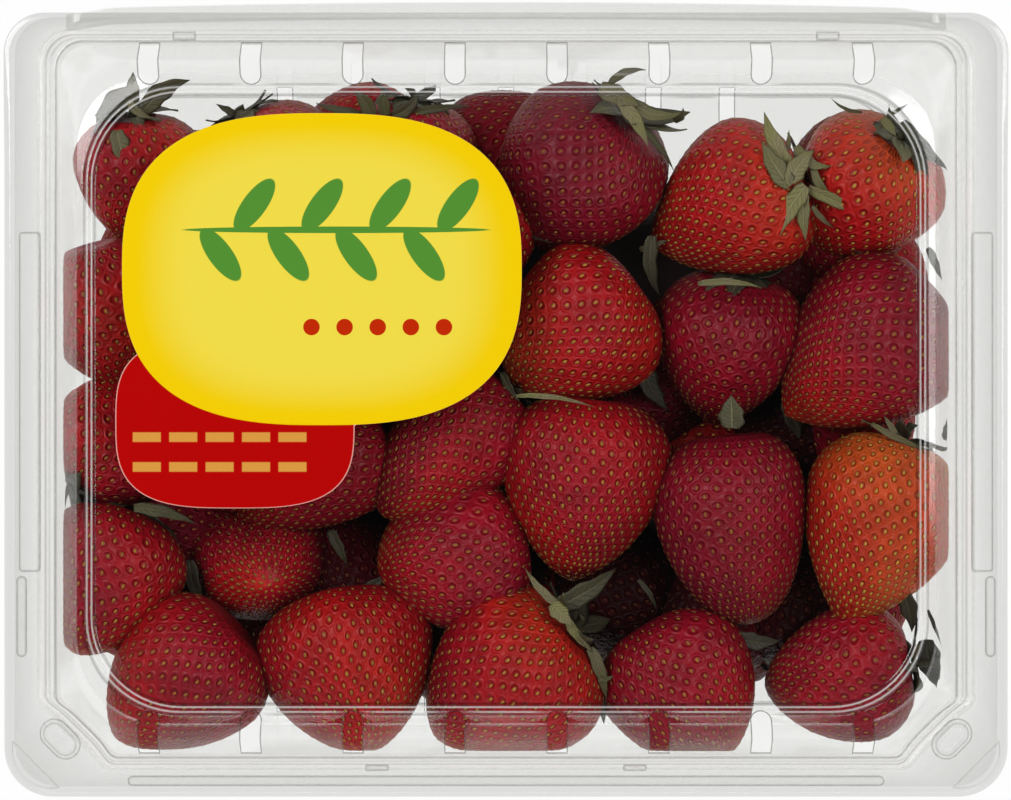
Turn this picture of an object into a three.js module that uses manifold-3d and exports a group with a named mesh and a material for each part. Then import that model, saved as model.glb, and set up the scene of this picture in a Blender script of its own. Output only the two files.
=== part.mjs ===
// A shut, clear, hinged punnet of strawberries, seen from above.
// Millimetres. +X runs along the pack, +Y points at the hinge, +Z is up, and the pack stands on z = 0.
import * as THREE from 'three';
import { mergeVertices } from 'three/addons/utils/BufferGeometryUtils.js';
import Module from 'manifold-3d';

// Overall sizes
const HALF_LENGTH = 123.9;
const HALF_WIDTH = 98.1;
const WALL = 0.6;
const FLANGE_Z = 57.0;
const PANEL_Z = 80.2;
const RIDGE_Z = 81.4;

// Tub
const TUB_RIM_Z = 56.1;
const TUB_CHANNEL_Z = 54.4;
const FLOOR_HALF_LENGTH = 101;
const FLOOR_HALF_WIDTH = 79;
const FLOOR_SLOT = { width: 4, count: 7, pitch: 19, inner: 70, outer: 86, height: 7 };

// Lid
const VENT = { width: 5, count: 8, pitch: 24.6, inner: 76.4, outer: 88.2 };
const BUTTON = { x: 109.9, y: -83.7, length: 11.3, width: 7.4, height: 2.2 };
const THUMB = { radius: 11.6, height: 0.8 };
const FRONT_BEAD = { half: 93.3, y: -94.0, width: 2.6, height: 0.8 };
const SIDE_BEAD = { x: 119.4, y0: -63.5, y1: -43.5, width: 2.6, height: 0.8 };
const SIDE_STEP = { x: 117.4, y0: -42.5, y1: 41.3, width: 5.4, height: 0.9 };
const BACK_TAB = { x: 79.3, y: 89.5, width: 5.8, depth: 2.2, height: 1.4 };
const FRONT_TAB = { x: 31.8, y: -90.8, width: 5.8, depth: 1.6, height: 1.2 };

// Hinge web, a bowed strip along the back edge
const WEB = { half: 108.5, inner: 94.4, end: 96.4, thickness: 0.6 };

// Label on the lid's flat panel
const LABEL_Z = PANEL_Z + 0.3;
const LABEL_THICKNESS = 0.25;
const LABEL_FIELD = { x: -44.5, y: 31.5, halfX: 48.3, halfY: 37.7, power: 2.7 };
const LABEL_TAB = { x: -65.5, y: -5.5, halfX: 28.9, halfY: 20.8, power: 3.2 };

// Fruit
const FRUIT_GAP = 0.45;
const FRUIT_TOP = 74.6;
const SHOULDER = 0.34;
const FRUIT_SIDES = 9;
const FRUIT_STEPS = [0.05, 0.18, 0.36, 0.6, 0.8, 0.94];
const LEAF_POINTS = 6;
const CORE = { halfX: 92, halfY: 68, low: 8, high: 47 };

// The upper fruit: centre, length, width, taper (0.5 round, 0.95 pointed), where the tip points
// (azimuth from +X and elevation, degrees), and whether its leaves show.
const TOP_FRUIT = [
  { x: -90.5, y: 54.3, z: 52, length: 34, width: 31, taper: 0.62, azimuth: -85, elevation: -15, leaves: true },
  { x: -96.1, y: 21.7, z: 50, length: 38, width: 37, taper: 0.6, azimuth: -75, elevation: -10, leaves: false },
  { x: -97.5, y: -8.8, z: 46, length: 36, width: 33, taper: 0.6, azimuth: 50, elevation: -20, leaves: true },
  { x: -95.7, y: -44.9, z: 52, length: 39, width: 36, taper: 0.62, azimuth: -110, elevation: 10, leaves: true },
  { x: -79.7, y: -66.2, z: 55, length: 42, width: 37, taper: 0.7, azimuth: -140, elevation: -5, leaves: false },
  { x: -61.4, y: -40, z: 42, length: 38, width: 35, taper: 0.72, azimuth: -60, elevation: 70, leaves: false },
  { x: -46.5, y: -16.5, z: 50, length: 44, width: 32, taper: 0.68, azimuth: -150, elevation: 0, leaves: false },
  { x: -14.3, y: -12.5, z: 54, length: 46, width: 31, taper: 0.62, azimuth: -139, elevation: 5, leaves: true },
  { x: -13.1, y: -38.8, z: 50, length: 39, width: 37, taper: 0.6, azimuth: -165, elevation: 15, leaves: false },
  { x: 19.2, y: -21.6, z: 54, length: 46, width: 41, taper: 0.68, azimuth: -95, elevation: 0, leaves: false },
  { x: 18.5, y: 19.1, z: 55, length: 41, width: 38, taper: 0.62, azimuth: -142, elevation: 5, leaves: false },
  { x: 18.3, y: 58.4, z: 53, length: 43, width: 42, taper: 0.55, azimuth: -130, elevation: -30, leaves: true },
  { x: 54.7, y: 49.1, z: 55, length: 43, width: 39, taper: 0.8, azimuth: -157, elevation: -5, leaves: true },
  { x: 91.2, y: 53.8, z: 52, length: 38, width: 35, taper: 0.6, azimuth: -125, elevation: -30, leaves: true },
  { x: 54.9, y: 13.5, z: 47, length: 40, width: 35, taper: 0.75, azimuth: -103, elevation: -15, leaves: true },
  { x: 89.8, y: 14.2, z: 53, length: 50, width: 42, taper: 0.72, azimuth: -135, elevation: 0, leaves: false },
  { x: 55.8, y: -30.5, z: 54, length: 49, width: 35, taper: 0.52, azimuth: -85, elevation: 0, leaves: false },
  { x: 91.6, y: -31.4, z: 55, length: 48, width: 38, taper: 0.78, azimuth: -108, elevation: 5, leaves: true },
  { x: -39.2, y: -66.2, z: 53, length: 42, width: 42, taper: 0.66, azimuth: -80, elevation: -15, leaves: false },
  { x: 1.5, y: -67.7, z: 53, length: 44, width: 42, taper: 0.66, azimuth: -141, elevation: -10, leaves: true },
  { x: 43.5, y: -70.4, z: 52, length: 38, width: 36, taper: 0.58, azimuth: -60, elevation: -25, leaves: false },
  { x: 83.3, y: -68.3, z: 50, length: 38, width: 33, taper: 0.66, azimuth: -170, elevation: -5, leaves: true },
  { x: 84.2, y: 42.8, z: 40, length: 36, width: 32, taper: 0.6, azimuth: -90, elevation: -20, leaves: false },
  { x: -8.9, y: 39.5, z: 50, length: 38, width: 33, taper: 0.66, azimuth: -90, elevation: -20, leaves: false },
  { x: -24, y: 57, z: 49, length: 36, width: 32, taper: 0.66, azimuth: -95, elevation: -10, leaves: true },
  { x: -56, y: 55, z: 52, length: 38, width: 35, taper: 0.66, azimuth: -60, elevation: -10, leaves: true },
  { x: -66, y: 24, z: 54, length: 40, width: 35, taper: 0.66, azimuth: -20, elevation: -5, leaves: false },
  { x: -34, y: 23, z: 53, length: 38, width: 34, taper: 0.66, azimuth: 100, elevation: 5, leaves: false },
  { x: -70, y: -9, z: 48, length: 38, width: 34, taper: 0.66, azimuth: 160, elevation: 0, leaves: false },
  { x: -15, y: 9, z: 44, length: 36, width: 32, taper: 0.66, azimuth: 30, elevation: -10, leaves: false },
];

// The lower layer is a rough grid of like fruit on the floor.
const LOW_FRUIT = { columns: 5, rows: 4, pitchX: 40, pitchY: 37.5, z: 19.5, length: 40, width: 35.5, jitter: 2.5 };

const wasm = await Module();
wasm.setup();

// Solids and geometry
function toSolid(geometry) {
  geometry.deleteAttribute('normal');
  geometry.deleteAttribute('uv');
  const merged = mergeVertices(geometry, 1e-4);
  const mesh = new wasm.Mesh({
    numProp: 3,
    vertProperties: new Float32Array(merged.attributes.position.array),
    triVerts: new Uint32Array(merged.index.array),
  });
  return new wasm.Manifold(mesh);
}

function toGeometry(solid) {
  const mesh = solid.getMesh();
  const geometry = new THREE.BufferGeometry();
  geometry.setAttribute('position', new THREE.BufferAttribute(mesh.vertProperties, 3));
  geometry.setIndex(new THREE.BufferAttribute(mesh.triVerts, 1));
  geometry.computeVertexNormals();
  return geometry;
}

function joinAll(solids) {
  return solids.reduce((whole, solid) => whole.add(solid));
}

function box(width, depth, height, x, y, z) {
  const geometry = new THREE.BoxGeometry(width, depth, height);
  geometry.translate(x, y, z + height / 2);
  return toSolid(geometry);
}

function smooth(low, high, value) {
  const t = Math.min(1, Math.max(0, (value - low) / (high - low)));
  return t * t * (3 - 2 * t);
}

// One closed plan outline of a level. A level has half sizes x, front and back, corner radii at the back and the
// front, and a notch, which pulls the front corners from a round (0) to a straight chamfer (1) and past it.
function outline(level) {
  const CORNER_STEPS = 7;
  const corners = [
    { sx: 1, sy: 1, start: 0 },
    { sx: -1, sy: 1, start: 90 },
    { sx: -1, sy: -1, start: 180 },
    { sx: 1, sy: -1, start: 270 },
  ];
  const points = [];
  corners.forEach(({ sx, sy, start }, index) => {
    const halfY = sy > 0 ? level.back : level.front;
    const radius = sy > 0 ? level.backRadius : level.frontRadius;
    const notch = sy > 0 ? 0 : level.notch;
    const centre = new THREE.Vector2(sx * (level.x - radius), sy * (halfY - radius));
    const at = (degrees) => {
      const angle = THREE.MathUtils.degToRad(degrees);
      return new THREE.Vector2(Math.cos(angle), Math.sin(angle)).multiplyScalar(radius).add(centre);
    };
    for (let i = 0; i <= CORNER_STEPS; i++) {
      const fraction = i / CORNER_STEPS;
      const onArc = at(start + 90 * fraction);
      const onChord = at(start).lerp(at(start + 90), fraction);
      points.push(onArc.lerp(onChord, notch));
    }
    const long = index % 2 === 0;
    const next = corners[(index + 1) % 4];
    const nextHalfY = next.sy > 0 ? level.back : level.front;
    const nextRadius = next.sy > 0 ? level.backRadius : level.frontRadius;
    const end = long
      ? new THREE.Vector2(next.sx * (level.x - nextRadius), next.sy * nextHalfY)
      : new THREE.Vector2(next.sx * level.x, next.sy * (nextHalfY - nextRadius));
    const begin = points[points.length - 1];
    for (const fraction of long ? [0.25, 0.5, 0.75] : [0.5]) {
      points.push(begin.clone().lerp(end, fraction));
    }
  });
  return points;
}

// A closed body lofted through levels, each an outline at its height, with flat caps on the first and last.
function loft(levels) {
  const rings = levels.map((level) => {
    const height = (point) => {
      const backHeight = level.backZ ?? level.z;
      return THREE.MathUtils.lerp(level.z, backHeight, smooth(55, 84, point.y));
    };
    return outline(level).map((point) => new THREE.Vector3(point.x, point.y, height(point)));
  });
  const count = rings[0].length;
  const vertices = rings.flat().concat([
    new THREE.Vector3(0, 0, levels[0].z),
    new THREE.Vector3(0, 0, levels[levels.length - 1].z),
  ]);
  const first = vertices.length - 2;
  const last = vertices.length - 1;
  const triangles = [];
  for (let i = 0; i < count; i++) {
    const j = (i + 1) % count;
    triangles.push(first, j, i);
    triangles.push(last, (rings.length - 1) * count + i, (rings.length - 1) * count + j);
    for (let ring = 0; ring < rings.length - 1; ring++) {
      const low = ring * count;
      const high = low + count;
      triangles.push(low + i, low + j, high + j, low + i, high + j, high + i);
    }
  }
  const geometry = new THREE.BufferGeometry();
  geometry.setAttribute('position', new THREE.Float32BufferAttribute(vertices.flatMap((v) => [v.x, v.y, v.z]), 3));
  geometry.setIndex(triangles);
  return toSolid(geometry);
}

// The levels of a surface moved by a distance along its own normal, which points out and up.
function shifted(levels, distance) {
  return levels.map((level, i) => {
    const before = levels[Math.max(0, i - 1)];
    const after = levels[Math.min(levels.length - 1, i + 1)];
    const along = new THREE.Vector2(after.x - before.x, after.z - before.z).normalize();
    const out = new THREE.Vector2(along.y, -along.x).multiplyScalar(distance);
    return {
      ...level,
      x: level.x + out.x,
      front: level.front + out.x,
      back: level.back + out.x,
      backRadius: Math.max(2, level.backRadius + out.x),
      frontRadius: Math.max(2, level.frontRadius + out.x),
      z: level.z + out.y,
      backZ: level.backZ === undefined ? undefined : level.backZ + out.y,
    };
  });
}

function levelOf(x, front, back, z, backRadius, frontRadius, notch = 0, backZ = undefined) {
  return { x, front, back, z, backRadius, frontRadius, notch, backZ };
}

// Tub: the outer skin from the floor up and over the rim, then the inner skin back down to the floor.
function tub() {
  const wallLevels = [
    levelOf(FLOOR_HALF_LENGTH - 1.5, FLOOR_HALF_WIDTH - 1.5, FLOOR_HALF_WIDTH - 1.5, 0, 15, 15),
    levelOf(FLOOR_HALF_LENGTH + 0.8, FLOOR_HALF_WIDTH + 0.6, FLOOR_HALF_WIDTH + 0.6, 1.6, 16, 16),
    levelOf(FLOOR_HALF_LENGTH + 2, FLOOR_HALF_WIDTH + 1.6, FLOOR_HALF_WIDTH + 1.6, 6, 16, 16),
    levelOf(110.6, 88.0, 88.0, 52.4, 7, 13, 0.7),
    levelOf(111.4, 88.6, 88.6, TUB_CHANNEL_Z - WALL, 7, 13, 0.9),
  ];
  const rimLevels = [
    levelOf(113.9, 90.2, 90.2, TUB_CHANNEL_Z - WALL, 7, 12, 0.9),
    levelOf(115.4, 91.2, 91.2, TUB_RIM_Z - WALL, 7.5, 11, 0.8),
    levelOf(121.2, 95.4, 94.2, TUB_RIM_Z - WALL, 9, 11, 0),
  ];
  const outer = [...wallLevels, ...rimLevels];
  const inner = shifted([...wallLevels, ...rimLevels], -WALL).reverse();
  inner[inner.length - 1].z = WALL;
  const shell = loft([...outer, ...inner]);
  const slots = [];
  for (let i = 0; i < FLOOR_SLOT.count; i++) {
    const x = (i - (FLOOR_SLOT.count - 1) / 2) * FLOOR_SLOT.pitch;
    const depth = FLOOR_SLOT.outer - FLOOR_SLOT.inner;
    const y = (FLOOR_SLOT.outer + FLOOR_SLOT.inner) / 2;
    slots.push(box(FLOOR_SLOT.width, depth, FLOOR_SLOT.height, x, y, -1));
    slots.push(box(FLOOR_SLOT.width, depth, FLOOR_SLOT.height, x, -y, -1));
  }
  return shell.subtract(joinAll(slots)).add(hingeWeb(TUB_RIM_Z - WALL));
}

// Hinge web: a thin plate whose back edge bows out a little in the middle.
function hingeWeb(z) {
  const shape = new THREE.Shape();
  shape.moveTo(-WEB.half, WEB.inner - 2);
  shape.lineTo(WEB.half, WEB.inner - 2);
  const STEPS = 12;
  for (let i = 0; i <= STEPS; i++) {
    const x = WEB.half * (1 - (2 * i) / STEPS);
    shape.lineTo(x, WEB.end + (HALF_WIDTH - WEB.end) * (1 - (x / WEB.half) ** 2));
  }
  const geometry = new THREE.ExtrudeGeometry(shape, { depth: WEB.thickness, bevelEnabled: false });
  geometry.translate(0, 0, z);
  return toSolid(geometry);
}

// Lid: lip, flat flange, channel, steep wall, sloping shoulder, raised ridge and flat panel.
function lidShell() {
  const top = [
    levelOf(HALF_LENGTH, HALF_WIDTH, 95.4, 54.6, 10, 12, 0, FLANGE_Z - 0.35),
    levelOf(HALF_LENGTH - 0.3, HALF_WIDTH - 0.3, 95.1, 56.2, 10, 12, 0, FLANGE_Z - 0.15),
    levelOf(HALF_LENGTH - 1.3, HALF_WIDTH - 1.1, 94.5, FLANGE_Z, 9.5, 11.5, 0),
    levelOf(114.7, 90.6, 90.6, FLANGE_Z, 8, 12, 0.9),
    levelOf(112.7, 89.2, 89.2, 55.5, 7, 13, 1),
    levelOf(111.2, 88.5, 88.5, 55.5, 7, 14, 1.1),
    levelOf(110.2, 87.6, 87.6, 58, 7, 14, 1.1),
    levelOf(104.8, 82.6, 82.6, 75.6, 14, 19, 0.2),
    levelOf(103.4, 79.4, 79.4, 78.6, 19, 21, 0),
    levelOf(101.9, 76.1, 76.1, PANEL_Z, 22.4, 22.4, 0),
    levelOf(100.7, 74.9, 74.9, RIDGE_Z, 22.2, 22.2, 0),
    levelOf(99.5, 73.7, 73.7, PANEL_Z, 21, 21, 0),
  ];
  const under = shifted(top, -WALL).reverse();
  under[0].z = PANEL_Z - WALL;
  return loft([...under, ...top]);
}

// A vent is a slot, round at the ridge and square at the wall's foot, cut straight down.
function vent(x, side) {
  const radius = VENT.width / 2;
  const shape = new THREE.Shape();
  shape.moveTo(x + radius, VENT.outer);
  shape.lineTo(x - radius, VENT.outer);
  shape.lineTo(x - radius, VENT.inner + radius);
  shape.absarc(x, VENT.inner + radius, radius, Math.PI, 2 * Math.PI, false);
  const geometry = new THREE.ExtrudeGeometry(shape, { depth: 26, bevelEnabled: false, curveSegments: 4 });
  geometry.translate(0, 0, 57.6);
  const cutter = toSolid(geometry);
  return side > 0 ? cutter : cutter.mirror([0, 1, 0]);
}

// A stadium boss, turned to lie across a front corner.
function button(side) {
  const radius = BUTTON.width / 2;
  const reach = BUTTON.length / 2 - radius;
  const shape = new THREE.Shape();
  shape.absarc(reach, 0, radius, -Math.PI / 2, Math.PI / 2, false);
  shape.absarc(-reach, 0, radius, Math.PI / 2, (3 * Math.PI) / 2, false);
  const geometry = new THREE.ExtrudeGeometry(shape, {
    depth: BUTTON.height - 1.1,
    bevelEnabled: true,
    bevelThickness: 0.7,
    bevelSize: 0.6,
    bevelOffset: -0.6,
    bevelSegments: 1,
    curveSegments: 5,
  });
  geometry.rotateZ(side * THREE.MathUtils.degToRad(45));
  geometry.translate(side * BUTTON.x, BUTTON.y, FLANGE_Z + 0.4);
  return toSolid(geometry);
}

// A crescent for the thumb, between the corner's own arc and its chord.
function thumbTab(side) {
  const shape = new THREE.Shape();
  shape.absarc(0, 0, THUMB.radius, THREE.MathUtils.degToRad(-165), THREE.MathUtils.degToRad(-105), false);
  const geometry = new THREE.ExtrudeGeometry(shape, { depth: THUMB.height + 0.3, bevelEnabled: false, curveSegments: 6 });
  geometry.translate(-(HALF_LENGTH - 14), -(HALF_WIDTH - 14), FLANGE_Z - 0.3);
  const tab = toSolid(geometry);
  return side < 0 ? tab : tab.mirror([1, 0, 0]);
}

function flangeDetails() {
  const parts = [
    box(2 * FRONT_BEAD.half, FRONT_BEAD.width, FRONT_BEAD.height + 0.3, 0, FRONT_BEAD.y, FLANGE_Z - 0.3),
  ];
  for (const side of [-1, 1]) {
    const beadLength = SIDE_BEAD.y1 - SIDE_BEAD.y0;
    const beadY = (SIDE_BEAD.y1 + SIDE_BEAD.y0) / 2;
    const stepLength = SIDE_STEP.y1 - SIDE_STEP.y0;
    const stepY = (SIDE_STEP.y1 + SIDE_STEP.y0) / 2;
    const low = FLANGE_Z - 0.3;
    parts.push(box(SIDE_BEAD.width, beadLength, SIDE_BEAD.height + 0.3, side * SIDE_BEAD.x, beadY, low));
    parts.push(box(SIDE_STEP.width, stepLength, SIDE_STEP.height + 0.3, side * SIDE_STEP.x, stepY, low));
    parts.push(box(BACK_TAB.width, BACK_TAB.depth, BACK_TAB.height + 1.5, side * BACK_TAB.x, BACK_TAB.y, 55.5));
    parts.push(box(FRONT_TAB.width, FRONT_TAB.depth, FRONT_TAB.height + 0.5, side * FRONT_TAB.x, FRONT_TAB.y, FLANGE_Z - 0.5));
    parts.push(button(side));
    parts.push(thumbTab(side));
  }
  return joinAll(parts);
}

function lid() {
  const vents = [];
  for (let i = 0; i < VENT.count; i++) {
    const x = (i - (VENT.count - 1) / 2) * VENT.pitch;
    vents.push(vent(x, 1), vent(x, -1));
  }
  return lidShell().subtract(joinAll(vents)).add(flangeDetails()).add(hingeWeb(FLANGE_Z - WALL));
}

// Label: a rounded main field with a smaller tab at its lower left, one thin sheet.
function superellipse({ x, y, halfX, halfY, power }) {
  const STEPS = 44;
  const shape = new THREE.Shape();
  for (let i = 0; i < STEPS; i++) {
    const angle = (2 * Math.PI * i) / STEPS;
    const c = Math.cos(angle);
    const s = Math.sin(angle);
    const px = x + halfX * Math.sign(c) * Math.abs(c) ** (2 / power);
    const py = y + halfY * Math.sign(s) * Math.abs(s) ** (2 / power);
    if (i === 0) {
      shape.moveTo(px, py);
    } else {
      shape.lineTo(px, py);
    }
  }
  const geometry = new THREE.ExtrudeGeometry(shape, { depth: LABEL_THICKNESS, bevelEnabled: false });
  geometry.translate(0, 0, LABEL_Z);
  return toSolid(geometry);
}

// Fruit: a body of revolution along +X, leaf end at -length / 2, tip at +length / 2.
function fruitRadius(t, taper) {
  if (t < SHOULDER) {
    return Math.sqrt(1 - ((SHOULDER - t) / SHOULDER) ** 2);
  }
  return (1 - ((t - SHOULDER) / (1 - SHOULDER)) ** 1.8) ** taper;
}

function fruitBody(length, width, taper) {
  const profile = [new THREE.Vector2(0, -length / 2)];
  for (const t of FRUIT_STEPS) {
    profile.push(new THREE.Vector2((width / 2) * fruitRadius(t, taper), length * (t - 0.5)));
  }
  profile.push(new THREE.Vector2(0, length / 2));
  const geometry = new THREE.LatheGeometry(profile, FRUIT_SIDES);
  geometry.rotateZ(-Math.PI / 2);
  return toSolid(geometry);
}

// A flat star of leaves just behind the leaf end.
function leafStar(length, width) {
  const shape = new THREE.Shape();
  for (let i = 0; i < 2 * LEAF_POINTS; i++) {
    const radius = i % 2 === 0 ? width * 0.46 : width * 0.2;
    const angle = (Math.PI * i) / LEAF_POINTS;
    const point = [radius * Math.cos(angle), radius * Math.sin(angle)];
    if (i === 0) {
      shape.moveTo(...point);
    } else {
      shape.lineTo(...point);
    }
  }
  const geometry = new THREE.ExtrudeGeometry(shape, { depth: 1.4, bevelEnabled: false });
  geometry.rotateY(Math.PI / 2);
  geometry.translate(-length / 2 + 0.2, 0, 0);
  return toSolid(geometry);
}

function placedFruit({ x, y, z, length, width, taper, azimuth, elevation, leaves }) {
  const body = fruitBody(length, width, taper);
  const whole = leaves ? body.add(leafStar(length, width)) : body;
  return whole.rotate([0, -elevation, 0]).rotate([0, 0, azimuth]).translate([x, y, z]);
}

// A repeatable draw between -1 and 1 for each whole number.
function draw(number) {
  const value = Math.sin(number * 127.1 + 31.7) * 43758.5453;
  return 2 * (value - Math.floor(value)) - 1;
}

function lowFruit() {
  const pieces = [];
  for (let column = 0; column < LOW_FRUIT.columns; column++) {
    for (let row = 0; row < LOW_FRUIT.rows; row++) {
      const number = column * LOW_FRUIT.rows + row;
      pieces.push(placedFruit({
        x: (column - (LOW_FRUIT.columns - 1) / 2) * LOW_FRUIT.pitchX + LOW_FRUIT.jitter * draw(number),
        y: (row - (LOW_FRUIT.rows - 1) / 2) * LOW_FRUIT.pitchY + LOW_FRUIT.jitter * draw(number + 40),
        z: LOW_FRUIT.z + draw(number + 80),
        length: LOW_FRUIT.length + 2 * draw(number + 120),
        width: LOW_FRUIT.width + 2 * draw(number + 160),
        taper: 0.66,
        azimuth: 180 * draw(number + 200),
        elevation: 20 * draw(number + 240),
        leaves: false,
      }));
    }
  }
  return pieces;
}

// The room inside the shut pack, less a small gap, which keeps the fruit off every wall.
function room() {
  return loft([
    levelOf(98.6 - FRUIT_GAP, 76.8 - FRUIT_GAP, 76.8 - FRUIT_GAP, WALL + FRUIT_GAP, 15, 15),
    levelOf(102 - FRUIT_GAP, 79.8 - FRUIT_GAP, 79.8 - FRUIT_GAP, 6, 15, 15),
    levelOf(109 - FRUIT_GAP, 86.4 - FRUIT_GAP, 86.4 - FRUIT_GAP, 51, 10, 14, 0.6),
    levelOf(108.6 - FRUIT_GAP, 86 - FRUIT_GAP, 86 - FRUIT_GAP, 58.6, 10, 15, 0.9),
    levelOf(104 - FRUIT_GAP, 81 - FRUIT_GAP, 81 - FRUIT_GAP, FRUIT_TOP, 15, 20, 0.2),
  ]);
}

function heap() {
  const core = loft([
    levelOf(CORE.halfX - 6, CORE.halfY - 6, CORE.halfY - 6, CORE.low, 20, 20),
    levelOf(CORE.halfX, CORE.halfY, CORE.halfY, CORE.low + 10, 22, 22),
    levelOf(CORE.halfX, CORE.halfY, CORE.halfY, CORE.high - 8, 22, 22),
    levelOf(CORE.halfX - 8, CORE.halfY - 8, CORE.halfY - 8, CORE.high, 22, 22),
  ]);
  return joinAll([core, ...lowFruit(), ...TOP_FRUIT.map(placedFruit)]).intersect(room());
}

// Materials
function material(color, roughness, opacity = 1) {
  return new THREE.MeshStandardMaterial({ color, roughness, metalness: 0, opacity, transparent: opacity < 1 });
}

const clearPlastic = material('#e6e8e6', 0.12, 0.35);
const printedFilm = material('#f2cf10', 0.4);
const fruitSkin = material('#a3141f', 0.35);

const group = new THREE.Group();
for (const [name, solid, surface] of [
  ['base_tub', tub(), clearPlastic],
  ['lid', lid(), clearPlastic],
  ['label', superellipse(LABEL_FIELD).add(superellipse(LABEL_TAB)), printedFilm],
  ['strawberry_heap', heap(), fruitSkin],
]) {
  const mesh = new THREE.Mesh(toGeometry(solid), surface);
  mesh.name = name;
  group.add(mesh);
}

export default group;
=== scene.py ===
"""A shut, clear, hinged punnet of strawberries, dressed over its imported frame.

Shapes are worked out in millimetres and become metres where a mesh is made. +X runs along the pack,
+Y points at the hinge and +Z is up.
"""

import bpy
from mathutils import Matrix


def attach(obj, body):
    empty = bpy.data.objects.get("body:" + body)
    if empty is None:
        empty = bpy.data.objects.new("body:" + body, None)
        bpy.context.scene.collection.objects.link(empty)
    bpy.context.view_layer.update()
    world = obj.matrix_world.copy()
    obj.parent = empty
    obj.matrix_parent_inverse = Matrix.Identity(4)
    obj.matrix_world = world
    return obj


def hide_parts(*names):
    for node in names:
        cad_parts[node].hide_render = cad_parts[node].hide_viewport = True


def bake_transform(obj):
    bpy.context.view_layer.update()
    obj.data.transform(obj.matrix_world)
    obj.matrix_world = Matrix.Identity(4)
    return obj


bl_info = {
    "name": "Strawberry punnet",
    "version": (1, 0, 0),
    "blender": (4, 5, 0),
    "location": "3D View > Sidebar > Punnet",
    "description": "Builds a clear hinged punnet of strawberries, its label and its studio",
    "category": "Add Mesh",
}

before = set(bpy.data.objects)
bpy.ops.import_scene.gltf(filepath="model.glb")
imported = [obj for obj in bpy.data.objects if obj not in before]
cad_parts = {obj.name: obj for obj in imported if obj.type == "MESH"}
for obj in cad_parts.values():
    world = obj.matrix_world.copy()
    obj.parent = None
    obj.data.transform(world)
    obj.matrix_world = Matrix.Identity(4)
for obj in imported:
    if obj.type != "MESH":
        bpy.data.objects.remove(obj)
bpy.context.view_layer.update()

import functools
import math
from collections import namedtuple

import bpy
import numpy as np

MM = 0.001
TINY = 1e-9
WHITE = (1.0, 1.0, 1.0, 1.0)

# The photograph's frame, and the mapping from its pixels to millimetres on the flange
FRAME_WIDTH_PX = 1011
FRAME_HEIGHT_PX = 800
PACK_CENTRE_PX = (506.0, 399.5)
MM_PER_PX = 0.2465
FLANGE_HEIGHT = 57.0
CAMERA_ABOVE_FLANGE = 1200.0

# Lid and tub heights, which repeat the solid model's
PANEL_HEIGHT = 80.2
RIDGE_HEIGHT = 81.4
TUB_RIM_HEIGHT = 56.1
TUB_CHANNEL_HEIGHT = 54.4
HINGE_HEIGHT = 56.25

# Fruit
FRUIT_TOP = 74.6
SHOULDER = 0.34

# The columns of a level, which is one step of a shell's profile: half its width, how far it reaches to the
# front and the back, its height, its corners' radii, the front corners' notch, and its height at the back
X, FRONT, BACK, Z, BACK_RADIUS, FRONT_RADIUS, NOTCH, BACK_Z = range(8)

Fruit = namedtuple("Fruit", "x y z length width taper azimuth elevation leaves ripe blush")

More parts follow.
